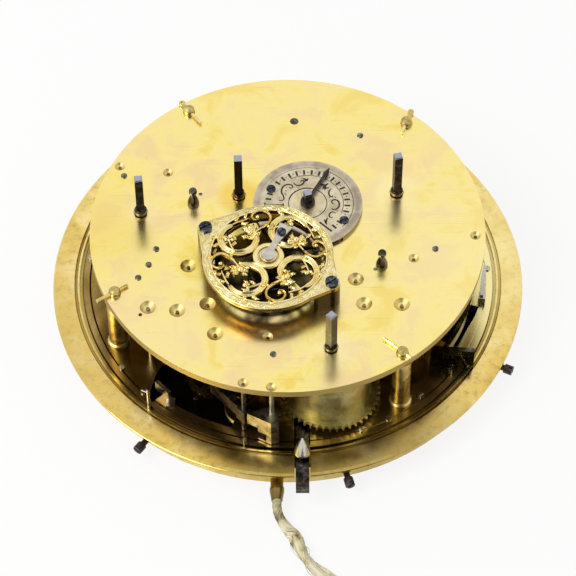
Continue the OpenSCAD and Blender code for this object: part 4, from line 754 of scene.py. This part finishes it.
def bridgeFrame():
    # rows carried round the hub: each is a distance and a height as functions of the direction
    columns = bridge["columns"]
    theta = np.arange(columns) * 360 / columns
    edge, inner = bridgeEdge(theta), bridgeCircle(theta, bridge["openR"], bridge["openDrop"])
    top, low = bridge["top"], bridge["low"]
    rows, heights, oilAndShade = [], [], []

    # each row also carries its darkness in the hollows: old oil and painted shade
    def row(radius, z, dark=0.0):
        rows.append(np.broadcast_to(radius, columns))
        heights.append(np.broadcast_to(z, columns))
        oilAndShade.append(np.broadcast_to(dark, columns))

    for out, z in ((0, low), (0, low + 0.7), (0, top - 0.15), (0.05, top + 0.02), (0.16, top + 0.13),
                   (0.34, top + 0.16), (0.5, top + 0.1), (0.58, top - 0.06)):
        row(inner + out, z, 0.5 if z == top - 0.06 else 0.0)
    first, last = inner + 0.64, edge - 0.42
    run, wide = np.radians(theta) * bridge["borderR"], bridge["borderWide"]
    for v in np.linspace(0, 1, bridge["borderRows"]):
        radius = first + (last - first) * v
        near = np.full(columns, 99.0)
        for ear in bridge["ears"]:
            xy, c = polar(radius, theta), polar(bridge["earAt"], ear)
            near = np.minimum(near, np.hypot(xy[:, 0] - c[0], xy[:, 1] - c[1]))
        width = last - first
        level = foliage(run, v, bridge["period"], wide)
        level = np.where(width > bridge["doubledFrom"],
                         foliage(run, v * width / wide % 1, bridge["period"], wide), level)
        flat = np.clip((near - bridge["bossR"]) / 0.4, 0, 1)
        # darker where the foliage lies low, as old oil and painted shade in its hollows
        row(radius, top - 0.14 + bridge["relief"] * (level * flat + 0.6 * (1 - flat)),
            np.clip(0.34 - 0.6 * level, 0, 0.26) * flat)
    for back, z, dark in ((0.36, top - 0.06, 0.4), (0.28, top + 0.03, 0), (0.12, top + 0.05, 0),
                          (0.02, top - 0.02, 0), (0, top - 0.2, 0), (0, low + 0.5, 0), (0, low, 0)):
        row(edge - back, z, dark)
    r, z = np.array(rows), np.array(heights)
    xy = polar(r, theta[None, :])
    points = np.concatenate([xy, z[:, :, None]], axis=-1).reshape(-1, 3)
    faces = gridFaces(len(rows), columns, rowLoop=True, columnLoop=True)
    points, faces = turnedOut(points, faces)
    return points, faces, np.array(oilAndShade).ravel()


def bridgeFeet():
    # each fills the outline within an angle of its ear, from the plate up to the ring
    parts = []
    for ear in bridge["ears"]:
        phi = np.linspace(-bridge["footAngle"], bridge["footAngle"], 40)
        out = polar(bridgeEdge(ear + phi) - 0.06, ear + phi)
        back = polar(bridge["footIn"], ear + phi[::-1])
        parts.append(slab(np.vstack([out, back]), bridge["plate"], bridge["low"] + 0.02))
    return parts


def bridgeScroll():
    # one of four: a C of even curvature that ends in a volute, with its stems, leaves and buds
    top, low = bridge["top"], bridge["low"]
    parts = []
    line = curledLine(bridge["scrollFrom"], bridge["scrollHeading"], bridge["scrollBends"])
    share = along(line) / along(line)[-1]
    half = np.interp(share, [0, 0.04, 0.25, 0.55, 0.78, 0.9, 1], [0.4, 0.85, 1.05, 1.18, 1.08, 0.75, 0.45])
    high = np.interp(share, [0, 0.1, 0.5, 0.8, 1], [top - 0.1, top + 0.15, top + 0.5, top + 0.45, top + 0.7])
    parts.append(band(line, half, low + 0.3, high, sections["fluted"]))
    for points, width, rise, kind in scrollStems:
        line = smoothPath(points, 0.2)
        share = along(line) / along(line)[-1]
        half = width * np.interp(share, [0, 0.12, 0.8, 1], [0.6, 1, 0.95, 0.7])
        parts.append(band(line, half, low + 0.4, top + rise + 0.15 * share, sections[kind]))
    for points, width in scrollLeaves:
        line = smoothPath(points, 0.12)
        share = along(line) / along(line)[-1]
        lobes = 1 + 0.28 * np.cos(2 * math.pi * 3 * share)
        swell = np.sin(math.pi * np.clip(share * 0.92 + 0.06, 0, 1)) ** 0.7
        half = bridge["leafWide"] * width * swell * lobes
        parts.append(band(line, half, low + 0.7 + 0.3 * share, top + 0.05 + 0.5 * share**2, sections["leaf"]))
    for x, y, r in scrollBuds:
        parts.append(ball((x, y, top + 0.1), r, 14))
    return parts


def ball(centre, r, n):
    # a ball as rings between two poles: r (cos lat cos lon, cos lat sin lon, sin lat)
    lat = np.linspace(-math.pi / 2, math.pi / 2, n + 2)[1:-1]
    lon = np.arange(2 * n) * math.pi / n
    x = np.cos(lat)[:, None] * np.cos(lon)[None, :]
    y = np.cos(lat)[:, None] * np.sin(lon)[None, :]
    z = np.broadcast_to(np.sin(lat)[:, None], x.shape)
    points = np.stack([x, y, z], axis=-1).reshape(-1, 3)
    points = np.vstack([points, [[0, 0, -1], [0, 0, 1]]]) * r + np.array(centre)
    faces = gridFaces(n, 2 * n, columnLoop=True)
    count = n * 2 * n
    faces += [[count, (j + 1) % (2 * n), j] for j in range(2 * n)]
    faces += [[count + 1, (n - 1) * 2 * n + j, (n - 1) * 2 * n + (j + 1) % (2 * n)] for j in range(2 * n)]
    return turnedOut(points, faces)


def turned(profile, columns=96):
    # a ring-shaped turned part from a closed loop of (radius, height)
    a = np.arange(columns) * 360 / columns
    profile = np.asarray(profile, float)
    xy = polar(profile[:, 0][:, None], a[None, :])
    z = np.broadcast_to(profile[:, 1][:, None, None], xy.shape[:2] + (1,))
    points = np.concatenate([xy, z], axis=-1).reshape(-1, 3)
    return turnedOut(points, gridFaces(len(profile), columns, rowLoop=True, columnLoop=True))


def makeBridge():
    # ring, feet, four scrolls at right angles and the hub, darker the deeper they lie under the top, as
    # painted shade with old oil in the hollows
    top, low = bridge["top"], bridge["low"]
    points, faces, dark = bridgeFrame()
    parts, oilAndShade = turnedXY([(points, faces)], 0, bridge["at"]), [dark]
    rest = bridgeFeet()
    for i in range(4):
        rest += turnedXY(bridgeScroll(), bridge["axis"] + 90 * i, (0, 0))
    r = bridge["hubR"]
    rest.append(turned([(0.45, low), (r - 0.1, low), (r, low + 0.2), (r, top - 0.35), (r - 0.25, top - 0.05),
                        (r - 0.7, top + 0.05), (3.55, top), (3.3, top - 0.15), (3.2, top - 0.55),
                        (2.75, top - 0.6), (2.6, top - 0.1), (2.3, top - 0.02), (0.45, top - 0.02)]))
    for piece in turnedXY(rest, 0, bridge["at"]):
        parts.append(piece)
        z = piece[0][:, 2]
        # painted shade: the deeper below the top, the darker
        oilAndShade.append(np.clip((top - 0.25 - z) / 0.9, 0, 0.9) * (z < top - 0.25))
    points, faces = joined(parts)
    piece = addPiece("carved_bridge", points, faces, made["carved"], smooth=False,
                     attributes={"oilAndShade": np.concatenate(oilAndShade)})
    piece.data.set_sharp_from_angle(angle=math.radians(bridge["sharpAt"]))
    piece.data.polygons.foreach_set("use_smooth", [True] * len(piece.data.polygons))
    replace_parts(piece, "balance_bridge")
    print("bridge carved,", len(faces), "faces")


makeBridge()

# Regulator's disc: its scale and scrolls, cut with a graver and filled with black wax
engraving = {
    "at": (6.4, 9.2), "levels": (36.95 - 0.01, 36.95 + 0.03), "firstTick": 139, "tickStep": 11.06,
    "ticks": 18, "underScrew": 15, "tickR": (11.55, 13.4), "tickHalf": 0.34, "lowTicks": (162.5, 172),
    "dotR": 12.5, "dot": 0.2, "dotSides": 10, "circlePoints": 160, "strokeHalf": 0.2,
    "circles": [(6.0, 0, 359.9, 0.13), (11.2, 118, -20, 0.1), (14.35, 62, -42, 0.1),
                (14.35, 150, 74, 0.05), (6.05, 80, 165, 0.2)],
    "brackets": [((-13.6, -0.4), (-7.7, -0.7), 0.2), ((3.6, -7.6), (7.4, -11.3), 0.3)],
    "strokes": [((-13.5, 0.3), (-13.4, -0.9)), ((-7.8, 0), (-7.6, -1.2)), ((5.1, -6.5), (5.9, -8.7)),
                ((6.1, -5.8), (5.5, -8.2))],
    "dots": [(-6.8, 5), (-7.1, 4), (-6.6, 6.3), (-3, 6.2), (-6.9, 3.4), (8.7, 2.3), (6.8, 2.2), (8.6, -4),
             (9.2, -3.1)],
}
# Traditional scrolls of the disc's field: points from the centre, and half of the greatest width
scrolls = [
    ([(-9.1, 1.3), (-8.1, 1.1), (-7.5, 1.9), (-7.7, 3.1), (-8.2, 4.3), (-8.1, 5.8), (-7.4, 7), (-6.2, 7.6),
      (-5, 7.3), (-4.7, 6.5), (-5.4, 6.1), (-5.9, 6.6)], 0.2),
    ([(-4.5, 8.3), (-3.6, 7.3), (-2.4, 7.2), (-1.4, 7.9), (-1.1, 8.8), (-1.7, 9.2), (-2.2, 8.6)], 0.2),
    ([(-1.4, 10), (-0.6, 9.5), (0.1, 9)], 0.26), ([(-0.9, 8.7), (-0.2, 9.4), (0.3, 10)], 0.22),
    ([(3.9, 8.3), (4.5, 7.4), (5.4, 7.5)], 0.26), ([(4.8, 6.4), (5.5, 7), (6.6, 8)], 0.26),
    ([(4.6, 5.7), (5.3, 6.2), (5.9, 6.9)], 0.22), ([(5.2, 5.4), (5.9, 6), (6.8, 6.2)], 0.2),
    ([(7.5, 5.7), (6.8, 4.8), (6.7, 3.7), (7.1, 2.7), (7.8, 2.5), (7.9, 3.1)], 0.2),
    ([(8.3, -0.4), (7.7, -0.1), (7.6, 0.8), (8.3, 1.3), (9.3, 1), (9.9, -0.2), (9.7, -1.6), (8.8, -2.5),
      (7.9, -2.6), (7.5, -2)], 0.22),
    ([(8.4, -3.8), (7.5, -3.6), (6.8, -4.3), (6.7, -5.2), (7.2, -5.8), (7.8, -5.6)], 0.18),
]


def engraved(line, half):
    # a cut that swells to the middle: its width goes with 0.35 + 0.65 sin(pi share)^0.6
    share = along(line) / along(line)[-1]
    return flatStrip(line, 1.35 * half * (0.35 + 0.65 * np.sin(math.pi * share) ** 0.6), engraving["levels"])


def straightCut(one, two, half):
    # engraved along one (1 - t) + two t
    t = np.linspace(0, 1, 9)[:, None]
    return engraved(np.array(one) * (1 - t) + np.array(two) * t, half)


def makeEngraving():
    # ticks at even steps of angle, dots between them, circles, brackets, strokes and scrolls
    levels = engraving["levels"]
    parts, inner, outer = [], *engraving["tickR"]
    angles = [engraving["firstTick"] - i * engraving["tickStep"] for i in range(engraving["ticks"])
              if i != engraving["underScrew"]] + list(engraving["lowTicks"])
    for a in angles:
        parts.append(flatStrip(polar(np.linspace(inner, outer, 4), a), engraving["tickHalf"], levels))
    around = np.arange(engraving["dotSides"]) * 360 / engraving["dotSides"]
    places = [polar(engraving["dotR"], a - engraving["tickStep"] / 2) for a in angles[:-3]]
    for place in [*places, *engraving["dots"]]:
        parts.append(slab(polar(engraving["dot"], around) + np.array(place), *levels))
    for radius, first, last, half in engraving["circles"]:
        line = polar(radius, np.linspace(first, last, engraving["circlePoints"]))
        parts.append(flatStrip(line, half, levels))
    for one, two, half in engraving["brackets"]:
        parts.append(flatStrip(np.array([one, two]), half, levels))
    for one, two in engraving["strokes"]:
        parts.append(straightCut(one, two, engraving["strokeHalf"]))
    for points, half in scrolls:
        parts.append(engraved(smoothPath(points, 0.15), half))
    points, faces = joined(turnedXY(parts, 0, engraving["at"]))
    addPiece("regulator_engraving", points, faces, made["wax"], smooth=False)
    print("regulator disc engraved,", len(parts), "cuts")


makeEngraving()

# Dial: hours in Roman figures, the minutes' track, and numbers at every fifth minute, fired in black.
# It is read from below, so its hours run the other way round for someone who looks down
dialFace = {
    "levels": (4.3 - 0.03, 4.3 + 0.01), "hoursFrom": 38.6, "hoursHigh": 10.8, "track": (52.4, 54.4),
    "line": 0.09, "tick": 0.1, "fifthTick": 0.3, "numbersFrom": 56.4, "numbersHigh": 4.2, "stroke": 0.26,
    "thick": 0.15, "thin": 0.045, "serif": 0.05, "serifHigh": 0.03,
    "hours": ["XII", "I", "II", "III", "IIII", "V", "VI", "VII", "VIII", "IX", "X", "XI"],
}
# Alarm disc: numbers of the hours, engraved and filled
alarmFace = {"levels": (3.6 - 0.03, 3.6 + 0.01), "numbersFrom": 8.4, "numbersHigh": 2.2, "stroke": 0.13,
             "ticks": (11, 12.6), "circles": (7.6, 11, 12.6)}
# Strokes of a Roman figure as (top, foot, thick or thin), with its width
romanStrokes = {"I": ([(0.13, 0.13, "thick")], 0.27),
                "V": ([(0.12, 0.31, "thick"), (0.52, 0.31, "thin")], 0.62),
                "X": ([(0.12, 0.5, "thick"), (0.52, 0.1, "thin")], 0.62)}
# Lines of the digits, drawn on a height of 1, and the step from one digit to the next
digitStep = 0.68
digitLines = {
    "0": [(0.3, 1), (0.08, 0.8), (0.04, 0.5), (0.08, 0.2), (0.3, 0), (0.52, 0.2), (0.56, 0.5), (0.52, 0.8),
          (0.3, 1)],
    "1": [(0.14, 0.82), (0.3, 1), (0.3, 0.5), (0.3, 0)],
    "2": [(0.06, 0.74), (0.18, 0.97), (0.42, 0.97), (0.52, 0.72), (0.3, 0.38), (0.04, 0.02), (0.56, 0.02)],
    "3": [(0.08, 0.9), (0.34, 1), (0.5, 0.8), (0.28, 0.56), (0.53, 0.28), (0.32, 0), (0.05, 0.1)],
    "4": [(0.42, 0), (0.42, 0.5), (0.42, 1), (0.02, 0.3), (0.58, 0.3)],
    "5": [(0.5, 1), (0.14, 1), (0.1, 0.58), (0.36, 0.62), (0.54, 0.32), (0.32, 0), (0.05, 0.1)],
    "6": [(0.48, 0.95), (0.2, 0.7), (0.06, 0.3), (0.3, 0), (0.54, 0.26), (0.32, 0.52), (0.1, 0.36)],
    "7": [(0.06, 0.98), (0.32, 0.96), (0.56, 0.98), (0.36, 0.5), (0.22, 0)],
    "8": [(0.3, 0.52), (0.1, 0.76), (0.3, 1), (0.5, 0.76), (0.3, 0.52), (0.06, 0.24), (0.3, 0), (0.54, 0.24),
          (0.3, 0.52)],
    "9": [(0.12, 0.05), (0.4, 0.3), (0.54, 0.7), (0.3, 1), (0.06, 0.74), (0.28, 0.48), (0.5, 0.64)],
}


def onDial(points, hour, radius, scale):
    # places on the dial of points drawn to the reader's right and outwards, at an hour's direction
    a, p = math.radians(30 * hour), np.asarray(points, float) * scale
    right, up = np.array([-math.cos(a), -math.sin(a)]), np.array([-math.sin(a), math.cos(a)])
    return p[:, :1] * right + (p[:, 1:] + radius) * up


def dialNumber(number, hour, face):
    # a number of one or two digits at an hour's direction, each digit a step to the right of the last
    parts, word = [], str(number)
    for i, digit in enumerate(word):
        line = smoothPath(np.array(digitLines[digit]) + ((i - len(word) / 2) * digitStep + 0.04, 0), 0.06)
        line = onDial(line, hour, face["numbersFrom"], face["numbersHigh"])
        parts.append(flatStrip(line, face["stroke"], face["levels"]))
    return parts


def romanFigure(word, hour):
    # each stroke is a slanted bar from its foot to its top, with a flat serif at either end
    parts, start = [], -sum(romanStrokes[letter][1] for letter in word) / 2
    serif, tall = dialFace["serif"], dialFace["serifHigh"]
    for letter in word:
        strokes, width = romanStrokes[letter]
        for top, foot, weight in strokes:
            half = dialFace[weight] / 2
            top, foot = top + start, foot + start
            for x, y, endX, endY, wide in ((foot, 0, top, 1, half), (foot, 0, foot, tall, half + serif),
                                           (top, 1 - tall, top, 1, half + serif)):
                bar = [(x - wide, y), (x + wide, y), (endX + wide, endY), (endX - wide, endY)]
                bar = onDial(bar, hour, dialFace["hoursFrom"], dialFace["hoursHigh"])
                parts.append(slab(bar, *dialFace["levels"]))
        start += width
    return parts


def circles(radii, count, levels):
    # thin rings about the dial's centre
    return [flatStrip(polar(radius, np.linspace(0, 359.9, count)), dialFace["line"], levels)
            for radius in radii]


def makeDialFigures():
    # the dial: hours, numbers, a tick every 6 degrees and the track's two rings; then the alarm disc
    parts, levels = [], dialFace["levels"]
    for hour, word in enumerate(dialFace["hours"]):
        parts += romanFigure(word, hour) + dialNumber(5 * hour or 60, hour, dialFace)
    for minute in range(60):
        half = dialFace["fifthTick"] if minute % 5 == 0 else dialFace["tick"]
        parts.append(flatStrip(polar(np.linspace(*dialFace["track"], 3), 90 + 6 * minute), half, levels))
    parts += circles(dialFace["track"], 240, levels)
    points, faces = joined(parts)
    addPiece("dial_figures", points, faces, made["wax"], smooth=False)
    print("dial figured,", len(parts), "strokes")
    parts, levels = [], alarmFace["levels"]
    for hour in range(12):
        parts += dialNumber(hour or 12, hour, alarmFace)
        line = polar(np.linspace(*alarmFace["ticks"], 3), 90 + 30 * hour)
        parts.append(flatStrip(line, alarmFace["stroke"], levels))
    parts += circles(alarmFace["circles"], 120, levels)
    points, faces = joined(parts)
    addPiece("alarm_figures", points, faces, made["wax"], body="alarm_disc",
             smooth=False)


makeDialFigures()

# Studio: white surroundings, a soft key from the left and a pale floor
studio = {"world": 0.72, "keyPower": 4.5, "keySize": 0.5, "keyPlace": (-0.56, -0.31, 0.77), "floorSize": 6.0,
          "floorDrop": 5e-5, "floorColour": "#fafaf8", "floorGlow": 0.86, "flagColour": "#0c0b0a",
          "flagPlace": (0, -0.84, 1.12), "flagSize": (1.3, 1.1)}


def addLamp(name, place, power, size):
    # a square lamp that looks at the origin
    data = bpy.data.lights.new(name, "AREA")
    data.energy, data.size = power, size
    lamp = bpy.data.objects.new(name, data)
    scene.collection.objects.link(lamp)
    lamp.location = place
    lamp.rotation_mode = "QUATERNION"
    lamp.rotation_quaternion = (-Vector(place)).to_track_quat("-Z", "Y")


def seenWhite(tree):
    # 1 for the rays that show the background: the camera's, and those that metal or glass sends on
    rays = addNode(tree, "ShaderNodeLightPath").outputs
    first = addNode(tree, "ShaderNodeMath", {0: rays["Is Camera Ray"], 1: rays["Is Glossy Ray"]},
                    operation="MAXIMUM").outputs[0]
    return addNode(tree, "ShaderNodeMath", {0: first, 1: rays["Is Transmission Ray"]},
                   operation="MAXIMUM").outputs[0]


def addCard(name, width, length, z, material):
    # a level rectangle about the origin, which isn't part of the object
    w, h = width / 2, length / 2
    mesh = bpy.data.meshes.new(name)
    mesh.from_pydata([(-w, -h, z), (w, -h, z), (w, h, z), (-w, h, z)], [], [(0, 1, 2, 3)])
    mesh.materials.append(material)
    card = bpy.data.objects.new(name, mesh)
    scene.collection.objects.link(card)
    return card


def addFlag():
    # a dark card between the camera and the lamp's side, which gives polished metal a dark to mirror
    material, _, shader = newMaterial("dark_card")
    shader.inputs["Base Color"].default_value = hexColour(studio["flagColour"])
    shader.inputs["Roughness"].default_value = 1.0
    card = addCard("dark_card", *studio["flagSize"], 0, material)
    card.rotation_mode = "QUATERNION"
    card.rotation_quaternion = Vector(studio["flagPlace"]).to_track_quat("-Z", "Y")
    card.location = studio["flagPlace"]
    card.visible_camera = False
    card.visible_shadow = False


def makeStudio():
    # the world and the floor show white to camera and mirror rays, and light the object plainly
    world = bpy.data.worlds.new("studio")
    scene.world = world
    world.use_nodes = True
    tree = world.node_tree
    seen = seenWhite(tree)
    strength = addNode(tree, "ShaderNodeMapRange", {0: seen, 3: studio["world"], 4: 1.0}).outputs[0]
    background = tree.nodes["Background"]
    background.inputs["Color"].default_value = (1, 1, 1, 1)
    tree.links.new(strength, background.inputs["Strength"])
    addLamp("key", studio["keyPlace"], studio["keyPower"], studio["keySize"])
    material, tree, shader = newMaterial("pale_floor")
    tree.nodes.remove(shader)
    matt = addNode(tree, "ShaderNodeBsdfDiffuse", {"Color": hexColour(studio["floorColour"])})
    glow = addNode(tree, "ShaderNodeEmission", {"Color": (1, 1, 1, 1), "Strength": 1.0})
    share = addNode(tree, "ShaderNodeMath", {0: seenWhite(tree), 1: studio["floorGlow"]},
                    operation="MULTIPLY").outputs[0]
    mix = addNode(tree, "ShaderNodeMixShader", {0: share, 1: matt.outputs[0], 2: glow.outputs[0]})
    tree.links.new(mix.outputs[0], tree.nodes["Material Output"].inputs["Surface"])
    addCard("floor", studio["floorSize"], studio["floorSize"], -studio["floorDrop"], material)
    addFlag()
    scene.view_settings.view_transform = "Standard"


makeStudio()
print("studio set")
